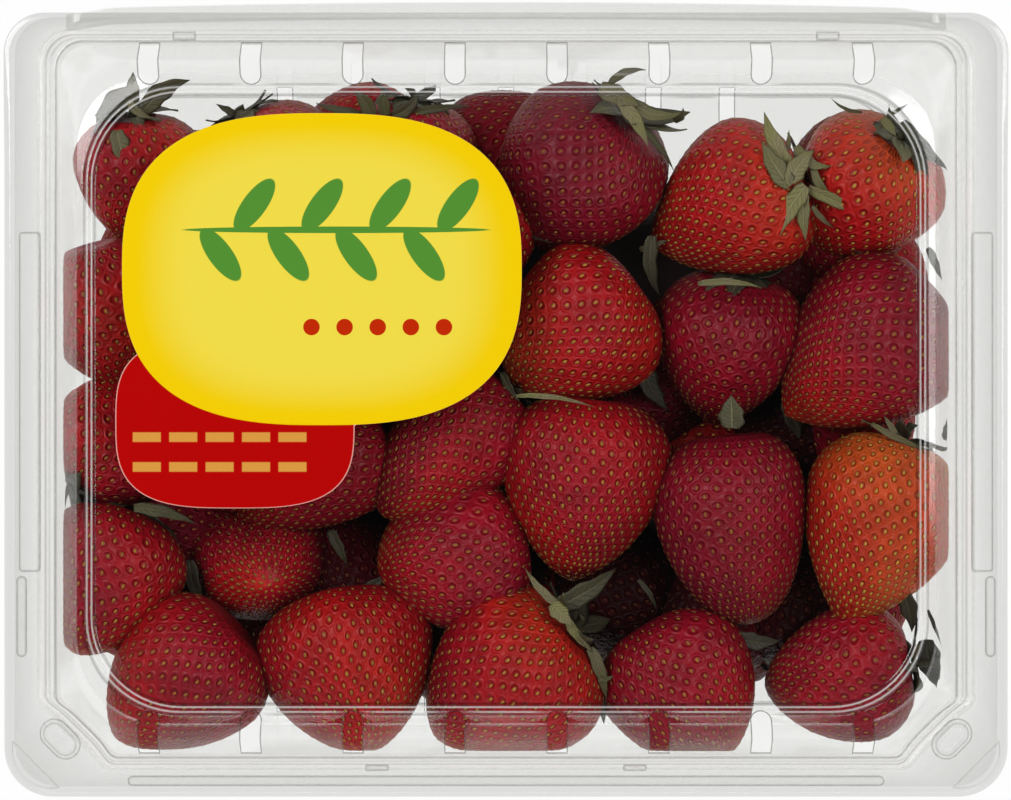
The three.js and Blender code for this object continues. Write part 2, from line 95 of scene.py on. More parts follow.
# Centre, length, width, taper (0.5 round, 0.95 pointed), where the tip points in degrees, the number of
# leaves, ripeness (0 dark, 0.5 bright, 1 orange), and its change towards the tip (+) or the shoulder (-).
TOP_FRUIT = [Fruit(*row) for row in (
    (-90.5, 54.3, 52, 34, 31, 0.62, -85, -15, 9, 0.45, 0.1),
    (-97.1, 21.7, 50, 38, 37, 0.60, -75, -10, 0, 0.42, 0.1),
    (-97.5, -8.8, 46, 36, 33, 0.60, 50, -20, 7, 0.40, 0.1),
    (-99.2, -44.9, 52, 39, 36, 0.62, -110, 10, 7, 0.40, 0.1),
    (-80.4, -69.8, 54, 43, 39, 0.66, -140, -5, 0, 0.32, 0.1),
    (-61.4, -40.0, 42, 38, 35, 0.72, -60, 70, 0, 0.20, 0.3),
    (-47.5, -18.0, 50, 44, 32, 0.68, -150, 0, 0, 0.38, 0.1),
    (-14.3, -12.5, 54, 46, 31, 0.62, -139, 5, 7, 0.30, 0.1),
    (-13.4, -38.4, 50, 38, 41, 0.60, -165, 15, 0, 0.24, 0.3),
    (18.6, -21.4, 54, 47, 41, 0.70, -95, 0, 0, 0.48, 0.15),
    (17.0, 16.8, 55, 41, 38, 0.62, -142, 5, 0, 0.62, 0.3),
    (17.2, 55.6, 53, 45, 42, 0.58, -130, -28, 10, 0.12, 0.05),
    (55.4, 47.0, 55, 43, 39, 0.80, -157, -5, 11, 0.54, -0.25),
    (87.9, 51.4, 52, 38, 38, 0.60, -125, -30, 9, 0.70, -0.3),
    (55.2, 12.7, 47, 40, 38, 0.75, -103, -15, 8, 0.14, 0.05),
    (88.8, 11.6, 53, 50, 43, 0.76, -140, 0, 0, 0.22, 0.5),
    (56.6, -31.2, 54, 49, 36, 0.50, -85, 0, 0, 0.14, 0.05),
    (91.4, -32.6, 55, 50, 39, 0.86, -107, 4, 8, 0.84, -0.35),
    (-38.4, -67.0, 53, 43, 42, 0.66, -80, 12, 0, 0.44, 0.1),
    (0.2, -69.6, 53, 46, 43, 0.66, -141, -10, 9, 0.50, -0.4),
    (43.7, -72.6, 52, 40, 38, 0.56, -60, 15, 0, 0.30, 0.1),
    (83.0, -68.6, 50, 38, 33, 0.62, -170, -5, 9, 0.20, 0.1),
    (84.2, 42.8, 40, 36, 32, 0.60, -90, -20, 0, 0.20, 0.05),
    (-8.9, 39.5, 50, 38, 33, 0.66, -90, -20, 0, 0.60, 0.1),
    (-24.0, 57.0, 49, 36, 32, 0.66, -95, -10, 10, 0.40, 0.1),
    (-56.0, 55.0, 52, 38, 35, 0.66, -60, -10, 9, 0.44, 0.1),
)]

# Fruit that the label covers, in the same terms.
COVERED_FRUIT = [Fruit(*row) for row in (
    (-66.0, 24.0, 54, 40, 35, 0.66, -20, -5, 0, 0.40, 0.1),
    (-34.0, 23.0, 53, 38, 34, 0.66, 100, 5, 0, 0.50, 0.1),
    (-70.0, -9.0, 48, 38, 34, 0.66, 160, 0, 0, 0.40, 0.1),
    (-15.0, 9.0, 44, 36, 32, 0.66, 30, -10, 0, 0.35, 0.1),
)]

# Fruit between the two layers, seen in the gaps: centre, where the tip points, leaves and ripeness, which
# below 0 gives painted shade.
FILL_FRUIT = [Fruit(*row[:3], 38, 34, 0.66, *row[3:], 0.1) for row in (
    (38, 5, 30, 20, 10, 8, -0.4), (25, -48, 29, 160, 5, 9, -0.5), (70, 28, 30, -60, 10, 0, -0.3),
    (52, -52, 28, 80, -10, 7, -0.4), (-40, -42, 30, 110, 0, 8, -0.3), (76, -50, 30, 40, 10, 8, -0.4),
    (-80, -30, 32, 10, 0, 0, 0.0), (-3, -2, 33, 50, 5, 8, -0.2), (-86, 38, 31, 80, 5, 0, 0.3),
    (-38, 62, 32, 190, 5, 0, 0.4), (2, 62, 31, 20, 5, 7, 0.3), (88, 34, 31, 100, 5, 0, 0.35),
    (88, -8, 31, -80, -5, 7, 0.3), (-14, -58, 30, 150, 5, 8, -0.3), (74, -6, 28, -150, 5, 8, -0.5),
)]

# The lower layer is a rough grid of like fruit on the floor.
LOW_COLUMNS = 6
LOW_ROWS = 4
LOW_PITCH_X = 34.0
LOW_PITCH_Y = 36.0
LOW_HEIGHT = 19.5
LOW_LENGTH = 40.0
LOW_WIDTH = 35.5
LOW_JITTER = 2.5
LOW_GAP = (4, 3)


def draw(number):
    """A repeatable draw between -1 and 1 for each number: the fraction of a large sine."""
    value = math.sin(number * 127.1 + 31.7) * 43758.5453
    return 2 * (value - math.floor(value)) - 1


def low_fruit():
    """The lower layer's fruit: a grid with jitter, each turned its own way."""
    pieces = []
    for column in range(LOW_COLUMNS):
        for row in range(LOW_ROWS):
            number = column * LOW_ROWS + row
            if (column, row) == LOW_GAP:
                continue
            pieces.append(Fruit(
                x=(column - (LOW_COLUMNS - 1) / 2) * LOW_PITCH_X + LOW_JITTER * draw(number),
                y=(row - (LOW_ROWS - 1) / 2) * LOW_PITCH_Y + LOW_JITTER * draw(number + 40),
                z=LOW_HEIGHT + draw(number + 80),
                length=LOW_LENGTH + 2 * draw(number + 120),
                width=LOW_WIDTH + 2 * draw(number + 160),
                taper=0.66,
                azimuth=180 * draw(number + 200),
                elevation=20 * draw(number + 240),
                leaves=7 if number % 2 else 0,
                ripe=0.4 + 0.2 * draw(number + 280),
                blush=0.2 * draw(number + 320),
            ))
    return pieces


def hidden_fruit():
    """Fruit that is seen only in gaps or from the sides."""
    return COVERED_FRUIT + FILL_FRUIT + low_fruit()


# Meshes

def make_object(name, points, faces):
    """A smooth mesh object from (n, 3) points in millimetres and a list of face arrays of one width each."""
    mesh = bpy.data.meshes.new(name)
    sizes = np.concatenate([np.full(len(f), f.shape[1]) for f in faces])
    loops = np.concatenate([f.reshape(-1) for f in faces])
    mesh.vertices.add(len(points))
    mesh.vertices.foreach_set("co", (np.asarray(points) * MM).astype(np.float32).reshape(-1))
    mesh.loops.add(len(loops))
    mesh.loops.foreach_set("vertex_index", loops.astype(np.int32))
    mesh.polygons.add(len(sizes))
    starts = np.concatenate([[0], np.cumsum(sizes)[:-1]])
    mesh.polygons.foreach_set("loop_start", starts.astype(np.int32))
    mesh.polygons.foreach_set("use_smooth", np.ones(len(sizes), dtype=bool))
    mesh.update(calc_edges=True)
    mesh.validate()
    made = bpy.data.objects.new(name, mesh)
    bpy.context.scene.collection.objects.link(made)
    return made


def closed_grid(rows):
    """Points and faces of a closed body from an (n, m, 3) array of rings. The first and last rings shrink
    to poles."""
    count, around, _ = rows.shape
    body = rows[1:-1].reshape(-1, 3)
    first = rows[0].mean(axis=0)
    last = rows[-1].mean(axis=0)
    points = np.concatenate([body, first[None], last[None]])
    i = np.arange(around)
    j = (i + 1) % around
    ring = np.arange(count - 3)[:, None] * around
    quads = np.stack([ring + i, ring + j, ring + around + j, ring + around + i], axis=-1).reshape(-1, 4)
    top = (count - 3) * around
    low_fan = np.stack([np.full(around, len(body)), j, i], axis=-1)
    high_fan = np.stack([np.full(around, len(body) + 1), top + i, top + j], axis=-1)
    return points, quads, np.concatenate([low_fan, high_fan])


def pole_values(values):
    """A grid's values in the order of closed_grid's points: inner rows, then the two poles."""
    inner = values[1:-1].reshape(-1, values.shape[-1])
    return np.concatenate([inner, values[0].mean(axis=0)[None], values[-1].mean(axis=0)[None]])


def capped(rows):
    """Rows with the first and the last one repeated, so that closed_grid keeps both."""
    return np.concatenate([rows[:1], rows, rows[-1:]])


def flipped(grid):
    """The same closed grid with its faces turned the other way."""
    points, quads, triangles = grid
    return points, quads[:, ::-1], triangles[:, ::-1]


def join_grids(grids):
    """Several closed grids as one set of points, quads and triangles."""
    starts = np.cumsum([0] + [len(points) for points, _, _ in grids[:-1]])
    points = np.concatenate([g[0] for g in grids])
    quads = np.concatenate([g[1] + s for g, s in zip(grids, starts)])
    triangles = np.concatenate([g[2] + s for g, s in zip(grids, starts)])
    return points, [quads, triangles]


def grid_object(name, grids):
    """One mesh object from several closed grids."""
    points, faces = join_grids(grids)
    return make_object(name, points, faces)


def set_attribute(made, name, kind, values):
    """A point attribute from an array: kind is FLOAT or FLOAT_COLOR."""
    attribute = made.data.attributes.new(name, kind, "POINT")
    field = "color" if kind == "FLOAT_COLOR" else "value"
    attribute.data.foreach_set(field, values.astype(np.float32).reshape(-1))


# Outlines and lofts

CORNER_STEPS = 14
LONG_STEPS = 26
SHORT_STEPS = 20
ROUNDING_STEPS = 5
BACK_RISE = (55, 84)      # between these places in y a level goes over to its height at the back


def level(x, front, back, z, back_radius, front_radius, notch=0.0, back_z=None):
    """A row of the columns above; the height at the back is the level's own where none is given."""
    return [x, front, back, z, back_radius, front_radius, notch, z if back_z is None else back_z]


def smooth_step(low, high, value):
    """0 up to low, 1 from high on, and three squares less two cubes between them."""
    t = np.clip((value - low) / (high - low), 0, 1)
    return t * t * (3 - 2 * t)


def level_rings(levels):
    """Rings of points, one for each level.

    A ring is a rounded rectangle: quarter arcs on the four corners and straight runs between them. The
    front arcs are blended towards their chords by the notch, and past them where it is over 1; the blend
    eases in at both ends.
    """
    levels = np.asarray(levels, dtype=float)
    angles = np.linspace(0, math.pi / 2, CORNER_STEPS + 1)
    fraction = angles / (math.pi / 2)
    arcs = []
    for sx, sy, start in ((1, 1, 0.0), (-1, 1, 0.5), (-1, -1, 1.0), (1, -1, 1.5)):
        half_y = levels[:, BACK if sy > 0 else FRONT]
        radius = levels[:, BACK_RADIUS if sy > 0 else FRONT_RADIUS]
        notch = levels[:, NOTCH] if sy < 0 else np.zeros(len(levels))
        turn = start * math.pi + angles
        arc = np.stack([np.cos(turn), np.sin(turn)], axis=-1)
        chord = arc[0] + (arc[-1] - arc[0]) * fraction[:, None]
        share = notch[:, None, None] * (1 - (1 - np.sin(math.pi * fraction)) ** 3)[None, :, None]
        shape = arc[None] * (1 - share) + chord[None] * share
        centre = np.stack([sx * (levels[:, X] - radius), sy * (half_y - radius)], axis=-1)
        arcs.append(centre[:, None] + shape * radius[:, None, None])
    pieces = []
    for k, arc in enumerate(arcs):
        steps = LONG_STEPS if k % 2 == 0 else SHORT_STEPS
        along = (np.arange(1, steps) / steps)[None, :, None]
        begin = arc[:, -1:]
        end = arcs[(k + 1) % 4][:, :1]
        pieces += [arc, begin + (end - begin) * along]
    plan = np.concatenate(pieces, axis=1)
    rise = smooth_step(*BACK_RISE, plan[..., 1])
    height = levels[:, Z][:, None] + (levels[:, BACK_Z] - levels[:, Z])[:, None] * rise
    return np.concatenate([plan, height[..., None]], axis=-1)


def rounded(levels, radius):
    """The profile with each inner corner replaced by a quadratic curve that starts and ends a radius from it,
    and each level's bend: 1 in the middle of a sharp hollow corner, -1 in that of a sharp ridge."""
    levels = np.asarray(levels, dtype=float)
    run = np.linalg.norm(np.diff(levels[:, [X, Z]], axis=0), axis=1)
    reach = np.minimum(radius, 0.45 * run)
    before = (reach[:-1] / run[:-1])[:, None]
    after = (reach[1:] / run[1:])[:, None]
    corner = levels[1:-1]
    start = corner + before * (levels[:-2] - corner)
    end = corner + after * (levels[2:] - corner)
    t = np.linspace(0, 1, ROUNDING_STEPS)[None, :, None]
    curve = (1 - t) ** 2 * start[:, None] + 2 * t * (1 - t) * corner[:, None] + t ** 2 * end[:, None]
    way = np.diff(levels[:, [X, Z]], axis=0) / run[:, None]
    turn = way[:-1, 0] * way[1:, 1] - way[:-1, 1] * way[1:, 0]
    bend = np.clip(1.5 * turn ** 3, -1, 1)[:, None] * np.sin(math.pi * t[0, :, 0])
    bend = np.concatenate([[0.0], bend.reshape(-1), [0.0]])
    return np.concatenate([levels[:1], curve.reshape(-1, levels.shape[1]), levels[-1:]]), bend


def offset(levels, distance):
    """The profile moved by a distance along its own normal, which points down where the profile runs out
    from the middle, and out where it climbs."""
    along = np.gradient(levels[:, [X, Z]], axis=0)
    along /= np.linalg.norm(along, axis=1, keepdims=True)
    out = np.stack([along[:, 1], -along[:, 0]], axis=-1) * distance
    moved = levels.copy()
    for column in (X, FRONT, BACK):
        moved[:, column] += out[:, 0]
    for column in (BACK_RADIUS, FRONT_RADIUS):
        moved[:, column] = np.maximum(1.5, moved[:, column] + out[:, 0])
    for column in (Z, BACK_Z):
        moved[:, column] += out[:, 1]
    return moved


def to_pole(ring, steps):
    """Rings that shrink evenly from a flat ring to its centre, the centre first."""
    scale = np.linspace(0, 1, steps + 1)[:-1]
    centre = np.array([0.0, 0.0, ring[0, 2]])
    return centre + (ring - centre)[None] * scale[:, None, None]


def shell_grid(profile, bend, wall, pole_steps):
    """A thin closed shell: the profile's own skin and its copy, a wall's thickness above it, or below it for
    a wall under zero, joined at the free edge. Both skins are carried on from the profile's start to the
    middle. Returns the grid and each point's bend."""
    outer = level_rings(profile)
    inner = level_rings(offset(profile, -wall))
    outer_pole = to_pole(outer[0], pole_steps)
    inner_pole = to_pole(inner[0], pole_steps)
    rows = np.concatenate([outer_pole, outer, inner[::-1], inner_pole[::-1]])
    flat = np.zeros(pole_steps)
    bends = np.concatenate([flat, bend, bend[::-1], flat])
    values = np.broadcast_to(bends[:, None, None], (*rows.shape[:2], 1))
    return closed_grid(rows), pole_values(values)


def mound(outline, rows, centre=None):
    """A low closed body over a star-shaped plan outline. Each row starts with a scale about the centre, which
    is the outline's mean where none is given, and a height. The first and last scales are 0."""
    if centre is None:
        centre = outline.mean(axis=0)
    rings = [np.column_stack([centre + (outline - centre) * row[0], np.full(len(outline), row[1])])
             for row in rows]
    return closed_grid(np.array(rings))


def level_mound(half_x, half_y, corner, rows, centre, angle=0.0):
    """A low closed body on a rounded rectangle, turned and moved. Each row is an inset, a height and a bend;
    an inset past the middle leaves a pole."""
    levels = []
    for inset, height, _ in rows:
        a = max(0.02, half_x - inset)
        b = max(0.02, half_y - inset)
        radius = max(0.01, min(corner - inset, b))
        levels.append(level(a, b, b, height, radius, radius))
    rings = level_rings(levels)
    c = math.cos(angle)
    s = math.sin(angle)
    x = rings[..., 0] * c - rings[..., 1] * s + centre[0]
    y = rings[..., 0] * s + rings[..., 1] * c + centre[1]
    return closed_grid(np.stack([x, y, rings[..., 2]], axis=-1))


def cut(made, cutter):
    """Cuts the cutter's closed bodies out of a piece, applies it and drops the cutter."""
    modifier = made.modifiers.new("cut", "BOOLEAN")
    modifier.operation = "DIFFERENCE"
    modifier.solver = "MANIFOLD"
    modifier.object = cutter
    graph = bpy.context.evaluated_depsgraph_get()
    result = bpy.data.meshes.new_from_object(made.evaluated_get(graph))
    if len(result.vertices) < len(made.data.vertices):
        raise RuntimeError(f"the cut on {made.name} failed")
    made.modifiers.clear()
    made.data = result
    bpy.data.objects.remove(cutter)
    result.polygons.foreach_set("use_smooth", np.ones(len(result.polygons), dtype=bool))
    result.set_sharp_from_angle(angle=math.radians(38))


# Shader nodes

class Socket:
    """An output socket whose Python operators add the Math nodes they stand for."""

    def __init__(self, shader, socket):
        self.shader = shader
        self.socket = socket

    def math(self, operation, *others):
        return self.shader.node("ShaderNodeMath", {"operation": operation}, dict(enumerate([self, *others])))

    def __add__(self, other):
        return self.math("ADD", other)

    def __sub__(self, other):
        return self.math("SUBTRACT", other)

    def __mul__(self, other):
        return self.math("MULTIPLY", other)

    def __truediv__(self, other):
        return self.math("DIVIDE", other)

    def __pow__(self, other):
        return self.math("POWER", other)

    def __abs__(self):
        return self.math("ABSOLUTE")

    def sqrt(self):
        return self.math("SQRT")

    def fract(self):
        return self.math("FRACT")

    def minimum(self, other):
        return self.math("MINIMUM", other)

    def maximum(self, other):
        return self.math("MAXIMUM", other)

    def smooth(self, low, high, start=0.0, end=1.0):
        """A smooth step of this value from start, at low, to end, at high."""
        return self.shader.node(
            "ShaderNodeMapRange",
            {"interpolation_type": "SMOOTHSTEP"},
            {"Value": self, "From Min": low, "From Max": high, "To Min": start, "To Max": end},
        )


class Shader:
    """One material, or the world, and its node tree."""

    def __init__(self, name, owner=None):
        self.material = owner or bpy.data.materials.new(name)
        self.material.use_nodes = True
        self.tree = self.material.node_tree
        self.tree.nodes.clear()

    def node(self, kind, settings=None, inputs=None, output=0):
        """Adds a node: settings first, then each input's value or link. Returns one output."""
        made = self.tree.nodes.new(kind)
        for key, value in (settings or {}).items():
            if key == "stops":
                self.set_stops(made.color_ramp, value)
            else:
                setattr(made, key, value)
        for key, value in (inputs or {}).items():
            socket = made.inputs[key]
            if isinstance(value, Socket):
                self.tree.links.new(value.socket, socket)
            else:
                socket.default_value = value
        return Socket(self, made.outputs[output]) if made.outputs else made

    @staticmethod
    def set_stops(ramp, stops):
        while len(ramp.elements) < len(stops):
            ramp.elements.new(1.0)
        for element, (position, color) in zip(ramp.elements, stops):
            element.position = position
            element.color = (*color, 1.0)

    def mix(self, factor, a, b, blend="MIX"):
        """Mixes two colours, which are sockets or (r, g, b) values."""
        a, b = (v if isinstance(v, Socket) else (*v, 1.0) for v in (a, b))
        return self.node(
            "ShaderNodeMix",
            {"data_type": "RGBA", "blend_type": blend},
            {0: factor, 6: a, 7: b},
            output=2,
        )

    def split(self, vector):
        """A vector's three values."""
        parts = self.node("ShaderNodeSeparateXYZ", None, {0: vector})
        return [Socket(self, output) for output in parts.socket.node.outputs]

    def position(self):
        """The object coordinates' three values, in millimetres."""
        return [value * (1 / MM) for value in self.split(self.node("ShaderNodeTexCoord", output="Object"))]

    def uv(self, name):
        """A UV map's two values."""
        return self.split(self.node("ShaderNodeUVMap", {"uv_map": name}))[:2]

    def attribute(self, name, output="Fac"):
        return self.node("ShaderNodeAttribute", {"attribute_name": name}, output=output)

    def noise(self, scale, detail=2.0):
        """Noise over the object, its scale in cells per metre."""
        place = self.node("ShaderNodeTexCoord", output="Object")
        return self.node("ShaderNodeTexNoise", None, {"Vector": place, "Scale": scale, "Detail": detail})

    def bump(self, height, distance):
        """A bumped normal from a height of 0 to 1, which stands for a distance in millimetres."""
        return self.node("ShaderNodeBump", None, {"Height": height, "Distance": distance * MM})

    def mix_shaders(self, factor, a, b):
        return self.node("ShaderNodeMixShader", None, {0: factor, 1: a, 2: b})

    def principled(self, **inputs):
        """A Principled shader, its inputs named in lower case with underscores."""
        return self.node("ShaderNodeBsdfPrincipled", None, {
            key.replace("_", " ").title().replace("Ior", "IOR"): value for key, value in inputs.items()
        })

    def finish(self, surface, kind="ShaderNodeOutputMaterial"):
        """Links the surface to the output and returns the material or world."""
        self.node(kind, None, {"Surface": surface})
        return self.material


def dress(made, body, material, slot, *replaced):
    """Gives a piece its material and its body, and hides the imported nodes that it stands for. The slot is
    not used.
    """
    made.data.materials.clear()
    made.data.materials.append(material)
    if body:
        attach(made, body)
    if replaced:
        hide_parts(*replaced)


# Settings

class PlasticSettings(bpy.types.PropertyGroup):
    """The clear sheet."""

    wall: bpy.props.FloatProperty(
        name="Sheet", description="Thickness of the clear sheet", default=0.45 * MM, unit="LENGTH",
        precision=5,
    )
    tint: bpy.props.FloatVectorProperty(
        name="Tint", description="Share of light that passes one skin face on", subtype="COLOR",
        default=(0.965, 0.966, 0.960),
    )
    # The edge share also darkens hollow bends, as painted shade.
    edge: bpy.props.FloatVectorProperty(
        name="Edge", description="Share of light that passes one skin at a slant", subtype="COLOR",
        default=(0.50, 0.50, 0.49),
    )
    roughness: bpy.props.FloatProperty(
        name="Roughness", description="Blur of the sheet's reflections", default=0.08, subtype="FACTOR",
        min=0, max=1,
    )


class FruitSettings(bpy.types.PropertyGroup):
    """The berries, their seeds and leaves."""

    seed_pitch: bpy.props.FloatProperty(
        name="Seed pitch", description="Spacing of seeds in a row at the widest place", default=4.4 * MM,
        unit="LENGTH", precision=5,
    )
    dimple: bpy.props.FloatProperty(
        name="Dimple", description="Depth of the dimple round each seed", default=0.55 * MM, unit="LENGTH",
        precision=5,
    )
    leaf: bpy.props.FloatVectorProperty(
        name="Leaf", description="Colour of the pale leaves", subtype="COLOR", default=(0.24, 0.225, 0.070)
    )
    dry: bpy.props.FloatVectorProperty(
        name="Dry leaf", description="Colour of dry patches", subtype="COLOR", default=(0.26, 0.22, 0.11)
    )
    # The darkest leaves' colour is painted shade for leaves deep in the gaps.
    shade: bpy.props.FloatVectorProperty(
        name="Dark leaf", description="Colour of the darkest leaves", subtype="COLOR",
        default=(0.04, 0.043, 0.028),
    )


class LabelSettings(bpy.types.PropertyGroup):
    """The printed label."""

    rim: bpy.props.FloatVectorProperty(
        name="Rim", description="Yellow at the label's rim", subtype="COLOR", default=(0.85, 0.58, 0.0)
    )
    centre: bpy.props.FloatVectorProperty(
        name="Centre", description="Yellow in the label's middle", subtype="COLOR", default=(0.83, 0.67, 0.06)
    )
    tab: bpy.props.FloatVectorProperty(
        name="Tab", description="Red of the lower tab", subtype="COLOR", default=(0.44, 0.0, 0.0)
    )


# Clear plastic

GRAZING_POWER = 12.0      # how late the sheet turns dim and glossy as it slants away
# The hollow bend's dim share is painted shade, and the ridge's white share is a painted highlight.
HOLLOW_SHADE = 0.65       # the dim share in a sharp hollow bend
GRAZING_GLOSS = 0.9       # the glossy share at the last slant
RIDGE_HIGHLIGHT = 0.4         # the white share on a sharp ridge


def clear_material(name, tint, share):
    """Thin clear sheet: light goes straight through, less so in a hollow bend, where that is painted shade,
    and a ridge gets a painted white highlight. The rest is a sharp reflection. Its share face on is given,
    and it rises with a high power of the slant."""
    settings = bpy.context.scene.punnet_plastic
    shader = Shader(name)
    slant = shader.node("ShaderNodeLayerWeight", None, {"Blend": 0.5}, output="Facing")
    clear = shader.node("ShaderNodeBsdfTransparent", None, {"Color": (*tint, 1.0)})
    dim = shader.node("ShaderNodeBsdfTransparent", None, {"Color": (*settings.edge, 1.0)})
    grazing = slant ** GRAZING_POWER
    # Painted shade: the bend attribute dims hollow bends.
    bend = shader.attribute("bend")
    shade = grazing.maximum(bend * HOLLOW_SHADE)
    through = shader.mix_shaders(shade, clear, dim)
    gloss = shader.node("ShaderNodeBsdfAnisotropic", None, {"Color": WHITE, "Roughness": settings.roughness})
    glossy = shader.mix_shaders(grazing * GRAZING_GLOSS + share, through, gloss)
    # Painted highlight: sharp ridges, where the bend is below zero, turn white.
    white = shader.node("ShaderNodeBsdfDiffuse", None, {"Color": (0.9, 0.9, 0.9, 1.0)})
    ridge = (bend * -RIDGE_HIGHLIGHT).maximum(0.0)
    return shader.finish(shader.mix_shaders(ridge, glossy, white))


def sheet_material():
    """The clear material that the tub, the lid and the hinge share."""
    made = bpy.data.materials.get("clear_sheet")
    return made or clear_material("clear_sheet", tuple(bpy.context.scene.punnet_plastic.tint), 0.03)


def relief_material():
    """The clear material of what stands on a sheet that is there already, which dims nothing face on."""
    return bpy.data.materials.get("clear_relief") or clear_material("clear_relief", WHITE[:3], 0.0)


# Where the lid's shoulder lies in x and where its lip starts
SHOULDER_X = 104.2
LIP_X = 121.5

# Places of the slots along x, how far in they start, their width, and how far the vents fan out
DRAIN_PLACES = [(i - 3) * 19.0 for i in range(7)]
DRAIN_INNER = 70
DRAIN_WIDTH = 4.0
VENT_PLACES = [(i - 3.5) * 24.6 for i in range(8)]
VENT_INNER = 75.5
VENT_WIDTH = 5.0
VENT_LEAN = 0.5
VENT_FAN = 0.0016
RIM_RADIUS = 0.16


def tub_profile():
    """From the floor's edge up the wall, through the channel and out to the rim."""
    return rounded([
        level(92, 70, 70, 0.05, 9, 9),
        level(100.2, 78.2, 78.2, 0.05, 15, 15),
        level(102.2, 80.2, 80.2, 2.4, 16, 16),
        level(103.4, 81.2, 81.2, 8, 16, 16),
        level(110.7, 88.1, 88.1, 53.2, 7, 15, 0.95),
        level(111.5, 88.7, 88.7, TUB_CHANNEL_HEIGHT - 0.45, 7, 15.5, 1),
        level(113.9, 90.2, 90.2, TUB_CHANNEL_HEIGHT - 0.45, 7, 17, 1),
        level(115.4, 91.2, 91.2, TUB_RIM_HEIGHT - 0.45, 7.5, 18, 1),
        level(121.2, 95.4, 94.2, TUB_RIM_HEIGHT - 0.45, 9, 11, 0),
    ], 0.5)


def lid_profile():
    """From the flat panel over the ridge, down the shoulder and the wall, through the channel and out to the
    lip. The shoulder's painted bend shade is soft, and the lip has an even painted shade that leaves it a
    little grey."""
    profile, bend = rounded([
        level(95.0, 69.0, 69.0, PANEL_HEIGHT, 17, 17),
        level(99.4, 73.6, 73.6, PANEL_HEIGHT, 21, 21),
        level(100.0, 74.2, 74.2, RIDGE_HEIGHT - 0.1, 21.6, 21.6),
        level(101.4, 75.6, 75.6, RIDGE_HEIGHT - 0.1, 22.6, 22.6),
        level(102.0, 76.2, 76.2, PANEL_HEIGHT - 0.1, 22.6, 22.6),
        level(SHOULDER_X, 78.8, 78.8, 79.7, 19, 21, 0),
        level(105.3, 82.6, 82.6, 75.6, 14, 19, 0.2),
        level(110.2, 87.6, 87.6, 58, 7, 15, 1.05),
        level(111.2, 88.5, 88.5, 55.5, 7, 15, 1.05),
        level(112.7, 89.2, 89.2, 55.5, 7, 16, 1),
        level(114.7, 90.6, 90.6, FLANGE_HEIGHT, 8, 17.5, 1),
        level(122.6, 97.0, 94.5, FLANGE_HEIGHT, 9.5, 11.5, 0),
        level(123.6, 97.8, 95.1, 56.2, 10, 12, 0, FLANGE_HEIGHT - 0.15),
        level(123.9, 98.1, 95.4, 54.6, 10, 12, 0, FLANGE_HEIGHT - 0.35),
    ], 0.4)
    # Painted shade: the lip is dimmed evenly and the shoulder's bend less.
    bend[profile[:, X] > LIP_X] = 0.3
    bend[np.abs(profile[:, X] - SHOULDER_X) < 0.7] *= 0.35
    return profile, bend


def slot_cutter(x, inner, outer, side, low, high, width, fan=0.0):
    """A slot's cutting body: round at its inner end, square at its outer end, straight up and down. The fan
    moves it away from the pack's middle by that share of x for each millimetre out, and side is 1 at the
    back and -1 at the front."""
    radius = width / 2
    turn = np.linspace(math.pi, 2 * math.pi, 13)
    arc = np.column_stack([radius * np.cos(turn), inner + radius + radius * np.sin(turn)])
    end = np.array([[radius, outer], [-radius, outer]])
    plan = np.concatenate([arc, end])
    plan[:, 0] += x * (1 + fan * (plan[:, 1] - inner))
    plan[:, 1] *= side
    grid = mound(plan, [(0, low), (1, low), (1, high), (0, high)])
    return grid if side > 0 else flipped(grid)


def loop_grid(paths, radius):
    """Thin tubes along closed paths, an (n, m, 3) array, with a six-sided section across each path."""
    count, steps, _ = paths.shape
    along = np.roll(paths, -1, axis=1) - np.roll(paths, 1, axis=1)
    along /= np.linalg.norm(along, axis=2, keepdims=True)
    out = np.cross(along, np.array([0.05, 1.0, 0.3]))
    out /= np.linalg.norm(out, axis=2, keepdims=True)
    up = np.cross(along, out)
    turn = np.arange(6) / 6 * 2 * math.pi
    points = paths[:, :, None] + radius * (
        out[:, :, None] * np.cos(turn)[:, None] + up[:, :, None] * np.sin(turn)[:, None]
    )
    path = np.arange(count)[:, None, None] * steps * 6
    i = np.arange(steps)[None, :, None]
    j = np.arange(6)[None, None]
    here = path + i * 6
    ahead = path + (i + 1) % steps * 6
    after = (j + 1) % 6
    faces = np.stack(np.broadcast_arrays(here + j, ahead + j, ahead + after, here + after), axis=-1)
    return points.reshape(-1, 3), faces.reshape(-1, 4)


def slot_rims(name, profile, places, inner, outer, width, lift, fan=0.0, lean=0.0):
    """The worked edges of slots: tubes round each slot's plan outline, at the profile's height there, which
    the bend attribute darkens in full as painted shade. The lean sets the back slots that much farther out
    and the front ones farther in."""
    radius = width / 2
    turn = np.linspace(math.pi, 2 * math.pi, 11)
    run = np.linspace(inner + radius, outer, 9)[1:]
    x = np.concatenate([radius * np.cos(turn), np.full(8, radius), np.full(8, -radius)])
    y = np.concatenate([inner + radius + radius * np.sin(turn), run, run[::-1]])
    order = np.argsort(profile[:, BACK])
    paths = []
    for side in (1, -1):
        reach = y + side * lean
        z = np.interp(reach, profile[order, BACK], profile[order, Z]) + lift
        spread = 1 + fan * (reach - inner)
        paths += [np.column_stack([place * spread + side * x, side * reach, z]) for place in places]
    points, faces = loop_grid(np.array(paths), RIM_RADIUS)
    made = make_object(name, points, [faces])
    # Painted shade: the rims are dimmed in full, a dark outline round each slot.
    set_attribute(made, "bend", "FLOAT", np.ones(len(points)))
    return made


